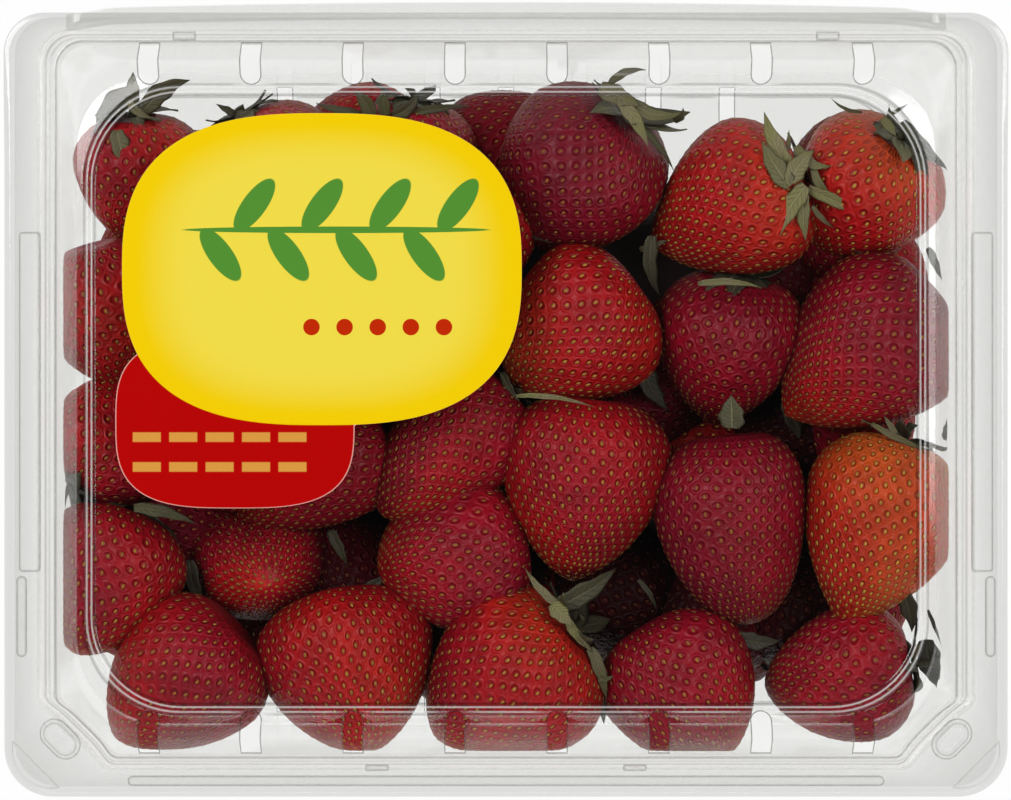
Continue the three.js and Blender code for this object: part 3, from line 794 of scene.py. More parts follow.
class PUNNET_OT_tub(bpy.types.Operator):
    """Tub: one thin sheet drawn down from its rim, with drain slots along the floor's long edges"""

    bl_idname = "punnet.tub"
    bl_label = "Tub"

    def execute(self, context):
        wall = context.scene.punnet_plastic.wall / MM
        grid, bends = shell_grid(*tub_profile(), wall, 6)
        tub = grid_object("tub_shell", [grid])
        # The bend attribute paints shade into hollow bends and a white highlight onto sharp ridges.
        set_attribute(tub, "bend", "FLOAT", bends)
        slots = [slot_cutter(x, DRAIN_INNER, 86, side, -1, 6, DRAIN_WIDTH)
                 for x in DRAIN_PLACES for side in (1, -1)]
        cut(tub, grid_object("drain_cutter", slots))
        dress(tub, "base", sheet_material(), "clear_plastic", "base_tub")
        rims = slot_rims("drain_rims", tub_profile()[0], DRAIN_PLACES, DRAIN_INNER, 80.4, DRAIN_WIDTH, 0.22)
        dress(rims, "base", sheet_material(), "clear_plastic")
        return {"FINISHED"}


class PUNNET_OT_lid(bpy.types.Operator):
    """Lid: one thin sheet with a lip, a flange, a channel, a steep vented wall, a ridge and a flat panel"""

    bl_idname = "punnet.lid"
    bl_label = "Lid"

    def execute(self, context):
        wall = context.scene.punnet_plastic.wall / MM
        grid, bends = shell_grid(*lid_profile(), -wall, 12)
        lid = grid_object("lid_shell", [flipped(grid)])
        # The bend attribute paints shade into hollow bends and a white highlight onto sharp ridges.
        set_attribute(lid, "bend", "FLOAT", bends)
        vents = [slot_cutter(x, VENT_INNER + VENT_LEAN * side, 88.2, side, 57.6, 84.0, VENT_WIDTH, VENT_FAN)
                 for x in VENT_PLACES for side in (1, -1)]
        cut(lid, grid_object("vent_cutter", vents))
        dress(lid, "lid", sheet_material(), "clear_plastic_lid", "lid")
        rims = slot_rims(
            "vent_rims", lid_profile()[0], VENT_PLACES, 75.7, 87.4, VENT_WIDTH, -0.2, VENT_FAN, VENT_LEAN
        )
        dress(rims, "lid", sheet_material(), "clear_plastic_lid")
        return {"FINISHED"}


class PUNNET_OT_hinge(bpy.types.Operator):
    """Hinge: a thin web that curls from the tub's rim round to the lid's flange"""

    bl_idname = "punnet.hinge"
    bl_label = "Hinge"

    def execute(self, context):
        fold = grid_object("hinge_fold", [hinge_grid()])
        dress(fold, None, sheet_material(), "clear_plastic_lid")
        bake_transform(fold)
        return {"FINISHED"}


def hinge_grid():
    """A C-shaped sheet: its path goes out along the tub's rim, round a small half turn and back under the
    lid's flange; its outer reach bows by a parabola in x and eases in at both ends. The section is carried
    along x."""
    half = 108.5
    across = np.linspace(-half, half, 61)
    reach = 96.4 + 1.68 * (1 - (across / half) ** 2) - 1.3 * smooth_step(96, half, np.abs(across))
    bend = 0.32
    turn = np.linspace(-math.pi / 2, math.pi / 2, 9)
    path_y = np.concatenate([[-4.2, -2.0], bend * (np.cos(turn) - 1), [-2.0, -4.2]])
    path_z = np.concatenate([[-bend, -bend], bend * np.sin(turn), [bend, bend]]) + HINGE_HEIGHT
    thick = 0.22
    inner_y = np.concatenate([[-4.2, -2.0], (bend - thick) * np.cos(turn) - bend, [-2.0, -4.2]])
    inner_z = np.concatenate([[thick - bend] * 2, (bend - thick) * np.sin(turn), [bend - thick] * 2])
    inner_z += HINGE_HEIGHT
    section_y = np.concatenate([path_y, inner_y[::-1]])
    section_z = np.concatenate([path_z, inner_z[::-1]])
    rows = np.stack(np.broadcast_arrays(
        across[:, None], reach[:, None] + section_y[None], section_z[None]
    ), axis=-1)
    return closed_grid(capped(rows))


# Rows of the flange's details: an inset, or a scale for the thumb tabs, a rise over their foot, and a bend,
# which paints shade where over zero and a white highlight where under zero
DETAIL_FOOT = FLANGE_HEIGHT - 0.05
BEAD_ROWS = [(50, 0, 0), (0.4, 0, 0), (0, 0, 0.8), (0.3, 0.45, 0.8), (0.7, 0.7, 0), (50, 0.75, 0)]
BUTTON_ROWS = BEAD_ROWS[:4] + [
    (0.6, 0.7, -0.5), (1.0, 0.7, 0.8), (1.35, 1.5, 0.5), (1.9, 2.0, -0.4), (2.3, 2.15, 0), (50, 2.2, 0),
]
THUMB_ROWS = [
    (0, 0, 0), (0.96, 0, 0), (1, 0, 0.6), (0.95, 0.5, 0.6), (0.89, 0.7, -0.4), (0.82, 0.75, 0), (0, 0.8, 0),
]
THUMB_CENTRE = (-112.0, -86.1)
THUMB_RADIUS = 9.8


def raised(rows):
    """The rows with heights in place of rises."""
    return [(inset, DETAIL_FOOT + rise, bend) for inset, rise, bend in rows]


class PUNNET_OT_flange_details(bpy.types.Operator):
    """Flange details: snap buttons, thumb tabs, stiffening beads, side steps and small stops"""

    bl_idname = "punnet.flange_details"
    bl_label = "Flange details"

    def execute(self, context):
        bead, button, thumb = raised(BEAD_ROWS), raised(BUTTON_ROWS), raised(THUMB_ROWS)
        turn = np.radians(np.linspace(-192, -78, 25))
        crescent = np.column_stack([np.cos(turn), np.sin(turn)]) * THUMB_RADIUS + THUMB_CENTRE
        tabs = [mound(crescent, thumb), flipped(mound(crescent * [-1, 1], thumb))]
        buttons = []
        beads = [level_mound(93.3, 1.3, 1.3, bead, (0, -94.0))]
        stops = []
        for side in (-1, 1):
            buttons.append(level_mound(5.65, 3.7, 3.7, button, (side * 109.9, -83.7), side * math.pi / 4))
            beads.append(level_mound(1.3, 10.0, 1.3, bead, (side * 119.4, -53.5)))
            beads.append(level_mound(2.7, 41.9, 1.0, bead, (side * 117.4, -0.6)))
            stops.append(level_mound(2.9, 1.1, 0.4, bead, (side * 79.3, 89.6)))
            stops.append(level_mound(2.9, 0.8, 0.4, bead, (side * 31.8, -90.8)))
        for name, grids, rows in (
            ("snap_buttons", buttons, button), ("thumb_tabs", tabs, thumb), ("flange_beads", beads, bead),
            ("stop_tabs", stops, bead),
        ):
            made = grid_object(name, grids)
            bends = np.array([row[2] for row in rows], dtype=float)
            around = (len(grids[0][0]) - 2) // (len(rows) - 2)
            values = pole_values(np.broadcast_to(bends[:, None, None], (len(rows), around, 1)))
            set_attribute(made, "bend", "FLOAT", np.tile(values, (len(grids), 1)))
            dress(made, "lid", relief_material(), "clear_plastic_lid")
        return {"FINISHED"}


# Label

LABEL_HEIGHT = PANEL_HEIGHT + 0.3
LABEL_THICKNESS = 0.25
LABEL_FIELD = dict(x=-44.5, y=31.5, half_x=48.3, half_y=37.7, power=2.7)
LABEL_TAB = dict(x=-65.5, y=-5.5, half_x=28.9, half_y=20.8, power=3.2)
LABEL_MIDDLE = (-65.0, 5.0)


def superellipse_reach(angles, x, y, half_x, half_y, power):
    """How far a ray from the label's middle goes to a superellipse's edge, by halving an interval."""
    low = np.zeros_like(angles)
    high = np.full_like(angles, 140.0)
    for _ in range(40):
        middle = (low + high) / 2
        px = np.abs(LABEL_MIDDLE[0] + middle * np.cos(angles) - x) / half_x
        py = np.abs(LABEL_MIDDLE[1] + middle * np.sin(angles) - y) / half_y
        inside = px ** power + py ** power < 1
        low = np.where(inside, middle, low)
        high = np.where(inside, high, middle)
    return low


def label_grid():
    """The label: on each ray from a point in both fields, the farther field's edge."""
    angles = np.linspace(0, 2 * math.pi, 361)[:-1]
    reach = np.maximum(superellipse_reach(angles, **LABEL_FIELD), superellipse_reach(angles, **LABEL_TAB))
    plan = np.column_stack([np.cos(angles), np.sin(angles)]) * reach[:, None] + LABEL_MIDDLE
    low = LABEL_HEIGHT
    high = LABEL_HEIGHT + LABEL_THICKNESS
    rows = [(0, low), (1, low), (1, high), (0.985, high), (0, high)]
    return mound(plan, rows, np.array(LABEL_MIDDLE))


def field_value(shader, x, y, field):
    """A superellipse's function: under 1 inside it, 1 on its edge."""
    px = abs((x - field["x"]) / field["half_x"]) ** field["power"]
    py = abs((y - field["y"]) / field["half_y"]) ** field["power"]
    return px + py


def union(masks):
    """The largest of several masks."""
    return functools.reduce(Socket.maximum, masks)


def ellipse_mask(x, y, centre, half, angle=0.0):
    """1 inside a turned ellipse and 0 outside, with a thin soft edge."""
    c = math.cos(angle)
    s = math.sin(angle)
    dx = x - centre[0]
    dy = y - centre[1]
    along = (dx * c + dy * s) / half[0]
    across = (dy * c - dx * s) / half[1]
    return (along * along + across * across).sqrt().smooth(0.97, 1.03, 1.0, 0.0)


def label_material():
    """Printed film: a pale middle fading to a deep yellow rim, a green sprig, plain red dots, and a red tab
    with two rows of plain dashes."""
    settings = bpy.context.scene.punnet_label
    shader = Shader("label_print")
    x, y, _ = shader.position()
    inside = field_value(shader, x, y, LABEL_FIELD)
    yellow = shader.mix(inside.smooth(0.30, 0.85), tuple(settings.centre), tuple(settings.rim))
    tab_edge = field_value(shader, x, y, LABEL_TAB)
    red = shader.mix(tab_edge.smooth(0.965, 0.985), tuple(settings.tab), (0.75, 0.35, 0.30))
    color = shader.mix(inside.smooth(0.995, 1.005), yellow, red)
    sides = [-1, 1] * 4
    leaves = [
        ellipse_mask(x, y, (-73 + 8.2 * k + 4.0, 41 + side * 6.0), (7.6, 2.9), side * math.radians(54))
        for k, side in enumerate(sides)
    ]
    stem = ellipse_mask(x, y, (-41, 41), (37, 0.8))
    color = shader.mix(union([*leaves, stem]), color, (0.08, 0.26, 0.03))
    dots = [ellipse_mask(x, y, (-47 + 8.0 * k, 17.5), (2.0, 2.0)) for k in range(5)]
    color = shader.mix(union(dots), color, (0.50, 0.02, 0.0))
    row = abs(abs(y + 12.7) - 3.6).smooth(1.0, 1.3, 1.0, 0.0)
    dash = abs(((x + 91.2) / 8.8).fract() - 0.5).smooth(0.37, 0.40, 1.0, 0.0)
    span = abs(x + 69.2).smooth(21.6, 22.0, 1.0, 0.0)
    color = shader.mix(row * dash * span, color, (0.66, 0.30, 0.05))
    surface = shader.principled(base_color=color, roughness=0.7, specular_ior_level=0.04)
    return shader.finish(surface)


class PUNNET_OT_label(bpy.types.Operator):
    """Label: one thin printed sheet on the lid's panel"""

    bl_idname = "punnet.label"
    bl_label = "Label"

    def execute(self, context):
        label = grid_object("label_print", [label_grid()])
        label.data.set_sharp_from_angle(angle=math.radians(30))
        dress(label, "lid", label_material(), "label_film", "label")
        return {"FINISHED"}


# Fruit

# The room inside the pack: half its length and width and its corners' radius at five heights
ROOM_HEIGHTS = np.array([1.05, 6, 51, 58.6, 74.6])
ROOM_HALF_X = np.array([99.3, 102.6, 109.5, 109.0, 104.1])
ROOM_HALF_Y = np.array([77.3, 80.3, 87.0, 86.5, 81.6])
ROOM_RADIUS = np.array([15, 15, 12, 14, 19])
ROOM_SOFTNESS = 0.5

# Between these distances from the pack's middle, in x and in y, the heap's painted shade fades out
WALL_FADE_X = (88.0, 104.0)
WALL_FADE_Y = (70.0, 84.0)


def kept_in_room(points, gap=0.0):
    """Points pushed in where they pass the pack's walls, top or floor, as fruit pressed on a wall is.

    The distance to the room's rounded rectangle at each height is bent smoothly to stay below zero.
    """
    soft = ROOM_SOFTNESS
    z = points[..., 2]
    half_x = np.interp(z, ROOM_HEIGHTS, ROOM_HALF_X) - gap
    half_y = np.interp(z, ROOM_HEIGHTS, ROOM_HALF_Y) - gap
    radius = np.interp(z, ROOM_HEIGHTS, ROOM_RADIUS)
    qx = np.abs(points[..., 0]) - half_x + radius
    qy = np.abs(points[..., 1]) - half_y + radius
    outer = np.hypot(np.maximum(qx, 0), np.maximum(qy, 0))
    distance = outer + np.minimum(np.maximum(qx, qy), 0) - radius
    wanted = -soft * np.logaddexp(0, -distance / soft)
    push = wanted - distance
    in_corner = outer > TINY
    moved = points.copy()
    for axis, past, nearest in ((0, qx, qx > qy), (1, qy, qx <= qy)):
        share = np.where(in_corner, np.maximum(past, 0) / np.maximum(outer, TINY), nearest)
        moved[..., axis] += share * np.sign(points[..., axis]) * push
    top = FRUIT_TOP - gap
    floor = ROOM_HEIGHTS[0] + gap
    moved[..., 2] = top - soft * np.logaddexp(0, (top - z) / soft)
    moved[..., 2] = floor + soft * np.logaddexp(0, (moved[..., 2] - floor) / soft)
    return moved


# Points round and steps along each berry, and the sides of each seed
TOP_STEPS = (80, 46)
HIDDEN_STEPS = (48, 30)
TOP_SEED_SIDES = 6
HIDDEN_SEED_SIDES = 4


def length_share(v):
    """How far along the berry's length v lies: half of one minus the cosine of pi v."""
    return (1 - np.cos(math.pi * v)) / 2


def fruit_radius(t, taper):
    """Half width over the widest half width at t of the length: an ellipse to the shoulder, then a taper."""
    shoulder = np.sqrt(np.clip(1 - ((SHOULDER - t) / SHOULDER) ** 2, 0, 1))
    s = np.clip((t - SHOULDER) / (1 - SHOULDER), 0, 1)
    return np.where(t < SHOULDER, shoulder, (1 - s ** 1.8) ** taper)


def placed(local, fruit):
    """Local points, with the fruit's axis on +X, turned up by its elevation and round by its azimuth, and
    moved to its centre."""
    up = math.radians(fruit.elevation)
    turn = math.radians(fruit.azimuth)
    x = local[..., 0] * math.cos(up) - local[..., 2] * math.sin(up)
    z = local[..., 0] * math.sin(up) + local[..., 2] * math.cos(up)
    y = local[..., 1]
    return np.stack([
        x * math.cos(turn) - y * math.sin(turn) + fruit.x,
        x * math.sin(turn) + y * math.cos(turn) + fruit.y,
        z + fruit.z,
    ], axis=-1)


def fruit_points(fruit, number, u, v):
    """The berry's skin at u, an angle round its axis, and v from the leaf end (0) to the tip (1).

    The radius follows the taper and swells and sinks by the first, second, third and fifth harmonics of u;
    the leaf end is drawn in, and the axis bends a little.
    """
    t = length_share(v)
    phase = [math.pi * draw(number + k) for k in (0.1, 0.2, 0.3, 0.4)]
    middle = np.sin(math.pi * t)
    swell = (1 + 0.040 * np.cos(u + phase[0]) * middle + 0.038 * np.cos(2 * u + phase[1])
             + 0.024 * np.cos(3 * u + phase[2]) * (1 - t) + 0.012 * np.cos(5 * u + 6 * t + phase[3]))
    radius = fruit.width / 2 * fruit_radius(t, fruit.taper) * swell
    hollow = 0.055 * fruit.length * np.exp(-(radius / (0.17 * fruit.width)) ** 2) * (t < 0.5)
    x = fruit.length * (t - 0.5) + hollow
    bend = 0.035 * fruit.length * draw(number + 0.5) * (middle - 0.6)
    y = radius * np.cos(u) * 1.02 + bend
    z = radius * np.sin(u) * 0.97
    return kept_in_room(placed(np.stack([x, y, z], axis=-1), fruit))


def cell_counts(fruit):
    """How many seeds go round the berry, and how many pairs of rows lie along it."""
    pitch = bpy.context.scene.punnet_fruit.seed_pitch / MM
    return round(math.pi * fruit.width / pitch), 1.28 * fruit.length / pitch


def lattice_warp(number, u, v):
    """How far the seeds' lattice is pulled round and along at u and v, in cells: slow waves that close round
    the berry."""
    phase = [math.pi * draw(number + k) for k in (0.31, 0.32, 0.33, 0.34)]
    fade = np.sin(math.pi * v)
    around = 0.26 * np.sin(2 * u + 5 * v + phase[0]) + 0.16 * np.sin(5 * u - 9 * v + phase[1])
    along = 0.20 * np.sin(3 * u + 4 * v + phase[2]) + 0.12 * np.sin(4 * u + 11 * v + phase[3])
    return around * fade, along * fade


def row_place(fruit, v):
    """The place along the rows at v: the skin's length so far over the whole, raised so that rows crowd
    towards the tip, times the number of pairs of rows."""
    fine = np.linspace(0, 1, 400)
    t = length_share(fine)
    radius = fruit.width / 2 * fruit_radius(t, fruit.taper)
    step = np.hypot(np.diff(radius), np.diff(fruit.length * t))
    length = np.concatenate([[0], np.cumsum(step)])
    return cell_counts(fruit)[1] * np.interp(v, fine, (length / length[-1]) ** 1.2)


# The skin's colours at these ripenesses; those below 0 are painted shade for fruit deep in the heap
RIPENESS = np.array([-0.5, 0.0, 0.3, 0.55, 0.8, 1.0, 1.3])
RIPE_COLORS = np.array([
    [0.020, 0.002, 0.003],
    [0.21, 0.001, 0.016], [0.34, 0.002, 0.016], [0.48, 0.005, 0.007],
    [0.59, 0.028, 0.009], [0.68, 0.088, 0.012], [0.80, 0.250, 0.035],
])


def ripe_color(ripe):
    """The skin's colour at a ripeness, each channel by straight lines between named colours."""
    channels = [np.interp(ripe, RIPENESS, RIPE_COLORS[:, k]) for k in range(3)]
    return np.stack(channels + [np.ones_like(ripe)], axis=-1)


def fruit_ripeness(fruit, number, u, v):
    """Ripeness over the skin: the blush grows to the tip or the shoulder, and all of it drifts slowly."""
    t = length_share(v)
    tip = np.clip((t - 0.45) / 0.55, 0, 1) ** 1.5
    shoulder = np.clip((0.5 - t) / 0.5, 0, 1) ** 1.5
    blush = np.where(fruit.blush > 0, fruit.blush * tip, -fruit.blush * shoulder)
    drift = 0.10 * np.sin(u + 3 * draw(number + 0.6))
    drift = drift + 0.08 * np.sin(2 * u + 5 * t + 3 * draw(number + 0.7))
    return fruit.ripe + blush + drift


def form_shade(points, fruit):
    """Painted shade: a darkening of the skin from the top of a berry to its middle, where the heap shades it.
    The skin keeps all its light by the pack's walls and 42 % of it in the heap."""
    height = 2 * (points[..., 2] - fruit.z) / fruit.width
    lost = 0.58 * (1 - smooth_step(-0.15, 0.80, height))
    at_wall = np.maximum(
        smooth_step(*WALL_FADE_X, np.abs(points[..., 0])), smooth_step(*WALL_FADE_Y, np.abs(points[..., 1]))
    )
    return 1 - lost * (1 - at_wall)


def berry_object(name, fruits, first, around, along):
    """Berries as one mesh, with their colour, which carries painted shade, their relief and a UV map that
    counts seeds.
    """
    grids, colors, reliefs, uvs = [], [], [], []
    u = np.arange(around) / around * 2 * math.pi
    v = np.linspace(0, 1, along + 1)
    uu, vv = np.meshgrid(u, v)
    for k, fruit in enumerate(fruits):
        number = first + k
        points = fruit_points(fruit, number, uu, vv)
        grids.append(closed_grid(points))
        ripe = fruit_ripeness(fruit, number, uu, vv)
        # Painted shade: each berry's colour darkens below its top.
        dim = form_shade(points, fruit)
        relief = smooth_step(0.12, 0.34, fruit_radius(length_share(vv), fruit.taper))
        colors.append(pole_values(ripe_color(ripe) * dim[..., None]))
        reliefs.append(pole_values(relief[..., None]))
        uvs.append(cell_uvs(fruit, number, around, v))
    made = grid_object(name, grids)
    set_attribute(made, "skin_color", "FLOAT_COLOR", np.concatenate(colors))
    set_attribute(made, "relief", "FLOAT", np.concatenate(reliefs))
    quads = np.concatenate([q for q, _ in uvs])
    fans = np.concatenate([f for _, f in uvs])
    layer = made.data.uv_layers.new(name="cells")
    layer.data.foreach_set("uv", np.concatenate([quads, fans]).astype(np.float32).reshape(-1))
    return made


def cell_uvs(fruit, number, around, v):
    """Each corner's place in the seeds' lattice, in the order of closed_grid's faces."""
    seeds_round, _ = cell_counts(fruit)
    u = np.arange(around + 1) / around * 2 * math.pi
    uu, vv = np.meshgrid(u, v)
    pull_u, pull_v = lattice_warp(number, uu, vv)
    place_u = uu / (2 * math.pi) * seeds_round + pull_u
    cells = np.stack([place_u, row_place(fruit, v)[:, None] + pull_v], axis=-1)
    low, high = cells[1:-2], cells[2:-1]
    quads = np.stack([low[:, :-1], low[:, 1:], high[:, 1:], high[:, :-1]], axis=2).reshape(-1, 2)
    fans = []
    for pole, ring, order in ((cells[0], cells[1], (1, 0)), (cells[-1], cells[-2], (0, 1))):
        middle = (pole[:-1] + pole[1:]) / 2
        ends = [ring[:-1], ring[1:]]
        fans.append(np.stack([middle, ends[order[0]], ends[order[1]]], axis=1).reshape(-1, 2))
    return quads, np.concatenate(fans)


def skin_material(name, gloss):
    """Berry skin: a dimple at every point of the seeds' lattice, with painted shade inside it, and a moist
    gloss. Painted shade darkens the skin deep in the heap, away from the walls."""
    settings = bpy.context.scene.punnet_fruit
    shader = Shader(name)
    x, y, z = shader.position()
    u, v = shader.uv("cells")
    even_u = u.fract() - 0.5
    even_v = v.fract() - 0.5
    odd_u = (u + 0.5).fract() - 0.5
    odd_v = (v + 0.5).fract() - 0.5
    nearest = (even_u * even_u + even_v * even_v).minimum(odd_u * odd_u + odd_v * odd_v).sqrt()
    relief = shader.attribute("relief")
    rise = nearest.smooth(0.12, 0.26)
    fine = shader.noise(900.0, detail=1.0)
    height = (rise - nearest.smooth(0.26, 0.42, 0.0, 0.40)) * relief + fine * 0.08
    base = shader.attribute("skin_color", "Color")
    # Painted shade in each dimple: the pit's colour darkens towards its middle.
    inside = shader.mix(rise.smooth(0.0, 0.8, 0.35, 0.0) * relief, base, (0.16, 0.004, 0.004))
    blotch = shader.noise(160.0, detail=1.0).smooth(0.3, 0.7, 0.0, 0.28)
    color = shader.mix(blotch, inside, (0.10, 0.0, 0.004), "MULTIPLY")
    # Painted shade: the skin darkens low in the heap, away from the walls.
    deep = z.smooth(34.0, 54.0, 0.6, 0.0) * abs(x).smooth(*WALL_FADE_X, 1.0, 0.0)
    color = shader.mix(deep * abs(y).smooth(*WALL_FADE_Y, 1.0, 0.0), color, (0.03, 0.0, 0.002))
    surface = shader.principled(
        base_color=color,
        roughness=0.42,
        specular_ior_level=gloss,
        normal=shader.bump(height, settings.dimple / MM),
    )
    return shader.finish(surface)


# Seeds

SEED_LENGTH = 1.3
SEED_WIDTH = 0.75
SEED_RISE = 0.12
SEED_ROOT = 0.5
# Seed colours by ripeness; the darkest, below 0, is painted shade for fruit deep in the heap
SEED_RIPENESS = (-0.4, 0, 1)
SEED_COLORS = [(0.05, 0.02, 0.01), (0.28, 0.08, 0.025), (0.66, 0.40, 0.06)]


def seed_places(fruit, number):
    """Lattice points (u, v) on the berry where seeds sit: both interleaved square lattices, thinned where
    the berry is too narrow for all of them."""
    seeds_round, _ = cell_counts(fruit)
    fine = np.linspace(0, 1, 400)
    rows = row_place(fruit, fine)
    places = []
    for shift in (0.5, 0.0):
        row = np.arange(1, math.floor(rows[-1] - shift) + 1) + shift
        cell, row = np.meshgrid(np.arange(seeds_round) + shift, row)
        uu = cell / seeds_round * 2 * math.pi
        vv = np.interp(row, rows, fine)
        for _ in range(6):
            pull_u, pull_v = lattice_warp(number, uu, vv)
            uu = (cell - pull_u) / seeds_round * 2 * math.pi
            vv = np.interp(row - pull_v, rows, fine)
        radius = fruit.width / 2 * fruit_radius(length_share(vv), fruit.taper)
        spacing = 2 * math.pi * radius / seeds_round
        every = np.maximum(1, np.ceil(1.4 / np.maximum(spacing, 0.05)))
        kept = (np.arange(seeds_round)[None] % every == 0) & (vv > 0.16) & (vv < 0.985)
        places.append(np.column_stack([uu[kept], vv[kept]]))
    places = np.concatenate(places)
    shake = np.random.default_rng(1000 + number).uniform(-1, 1, (len(places), 2))
    places[:, 0] += 0.05 * shake[:, 0] * 2 * math.pi / seeds_round
    places[:, 1] += 0.0015 * shake[:, 1]
    return places


def seed_grid(fruit, number, sides):
    """A pointed oval for each seed, laid along the berry: a ring of points on the skin, the front one drawn
    out, between a low top and a bottom point that is sunk in the skin."""
    places = seed_places(fruit, number)
    u, v = places[:, 0], places[:, 1]
    step = 1e-3
    centre = fruit_points(fruit, number, u, v)
    along = fruit_points(fruit, number, u, v + step) - centre
    across = fruit_points(fruit, number, u + step, v) - centre
    along /= np.linalg.norm(along, axis=1, keepdims=True) + 1e-12
    normal = np.cross(across, along)
    normal /= np.linalg.norm(normal, axis=1, keepdims=True) + 1e-12
    side = np.cross(along, normal)
    inward = fruit_points(fruit, number, u, v).mean(axis=0) - centre
    normal *= -np.sign((normal * inward).sum(axis=1, keepdims=True))
    size = 1 + 0.12 * np.random.default_rng(2000 + number).uniform(-1, 1, len(u))
    turn = np.arange(sides) / sides * 2 * math.pi
    ring = np.column_stack([np.cos(turn) * SEED_LENGTH / 2, np.sin(turn) * SEED_WIDTH / 2])
    ring[0, 0] *= 1.25
    local = np.concatenate([
        np.column_stack([ring, np.zeros(sides)]), [[0.05, 0, SEED_RISE]], [[0, 0, -SEED_ROOT]],
    ])
    points = centre[:, None] + size[:, None, None] * (
        local[None, :, :1] * along[:, None] + local[None, :, 1:2] * side[:, None]
        + local[None, :, 2:] * normal[:, None]
    )
    i = np.arange(sides)
    j = (i + 1) % sides
    template = np.concatenate([
        np.column_stack([i, j, np.full(sides, sides)]), np.column_stack([j, i, np.full(sides, sides + 1)]),
    ])
    handed = np.sign(np.einsum("ij,ij->i", np.cross(along, side), normal))
    faces = template[None] + (sides + 2) * np.arange(len(u))[:, None, None]
    faces = np.where(handed[:, None, None] > 0, faces, faces[..., ::-1])
    return points.reshape(-1, 3), faces.reshape(-1, 3)


def seed_object(name, fruits, first, sides):
    """All the seeds of a group of berries as one mesh, each berry's seeds in a tone of its own, with the
    berry's painted shade.
    """
    points, faces, colors = [], [], []
    start = 0
    for k, fruit in enumerate(fruits):
        seed_points, seed_faces = seed_grid(fruit, first + k, sides)
        points.append(seed_points)
        faces.append(seed_faces + start)
        start += len(seed_points)
        count = len(seed_points) // (sides + 2)
        light = np.random.default_rng(3000 + first + k).uniform(0.8, 1.2, count).repeat(sides + 2)
        color = np.array([np.interp(fruit.ripe, SEED_RIPENESS, tones) for tones in zip(*SEED_COLORS)])
        # Painted shade: each seed darkens like the skin under it.
        light *= form_shade(seed_points, fruit)
        colors.append(np.column_stack([color[None] * light[:, None], np.ones(len(light))]))
    made = make_object(name, np.concatenate(points), [np.concatenate(faces)])
    set_attribute(made, "seed_color", "FLOAT_COLOR", np.concatenate(colors))
    return made


def seed_material():
    """Seeds: dry ovals, in each berry's own tone, a little darker by a fine hatch."""
    shader = Shader("seed_coat")
    color = shader.attribute("seed_color", "Color")
    x, y, z = shader.position()
    worn = shader.mix((x * 3.1 + y * 2.3 + z * 1.7).fract() * 0.3, color, (0.16, 0.06, 0.015))
    return shader.finish(shader.principled(base_color=worn, roughness=0.5, specular_ior_level=0.2))


# Leaves and stalks

def leaf_grid(fruit, number, k):
    """One leaf of a berry's crown: a closed lens section carried along a curling path.

    The path leaves the crown's middle, its direction turning from along the shoulder to its own curl. The
    half width is a sine of the distance to a power, the section folds up at its sides and ripples.
    """
    key = number * 20 + k
    turn = 2 * math.pi * (k + 0.35 * draw(key + 0.11)) / fruit.leaves
    length = fruit.width * (0.30 + 0.08 * draw(key + 0.12))
    half_width = length * (0.24 + 0.05 * draw(key + 0.13))
    start = math.radians(8 + 14 * draw(key + 0.14))
    curl = math.radians(-20 + 75 * draw(key + 0.15))
    s = np.linspace(0, 1, 11)
    lean = start + curl * s ** 1.5
    step = length / 10
    out = 1.2 + np.concatenate([[0], np.cumsum(np.cos(lean[:-1]) * step)])
    back = 0.6 + np.concatenate([[0], np.cumsum(np.sin(lean[:-1]) * step)])
    across = np.concatenate([np.linspace(-1, 1, 6), np.linspace(1, -1, 6)[1:-1]])
    face = np.concatenate([np.ones(6), -np.ones(4)])
    face[[0, 5]] = 0
    width = half_width * np.sin(math.pi * (0.10 + 0.90 * s) ** 0.8)
    width[-1] = 0.02
    side = width[:, None] * across[None]
    thick = 0.16 * face[None] * np.sqrt(np.clip(1 - across[None] ** 2, 0, 1))
    fold = 0.25 * np.abs(side) + 0.25 * np.sin(7 * s[:, None] + 3 * draw(key + 0.16)) * across[None]
    lift = back[:, None] + (fold + thick) * np.cos(lean)[:, None]
    reach = out[:, None] - (fold + thick) * np.sin(lean)[:, None]
    local = np.stack([
        -fruit.length / 2 + 0.045 * fruit.length - lift,
        reach * math.cos(turn) - side * math.sin(turn),
        reach * math.sin(turn) + side * math.cos(turn),
    ], axis=-1)
    rows = kept_in_room(placed(local, fruit), gap=0.3)
    tone = 0.3 + 0.25 * draw(key + 0.17)
    values = np.stack(np.broadcast_arrays(across[None], s[:, None], tone), axis=-1).astype(float)
    return closed_grid(capped(rows)), capped(values)


def stalk_grid(fruit, number):
    """A short bent stalk: a round section, a little wider at its cut end, carried back from the crown."""
    length = 4.5 + 2.5 * draw(number + 0.9)
    s = np.linspace(0, 1, 6)
    bend = 1.6 * draw(number + 0.91)
    radius = 1.0 + 0.25 * s ** 3
    u = np.linspace(0, 2 * math.pi, 11)[:-1]
    local = np.stack([
        np.broadcast_to((-fruit.length / 2 + 0.9 - length * s)[:, None], (6, 10)),
        radius[:, None] * np.cos(u)[None] + (bend * s ** 2)[:, None],
        radius[:, None] * np.sin(u)[None] + (1.2 * s ** 2)[:, None],
    ], axis=-1)
    rows = kept_in_room(placed(local, fruit), gap=0.3)
    return flipped(closed_grid(capped(rows)))
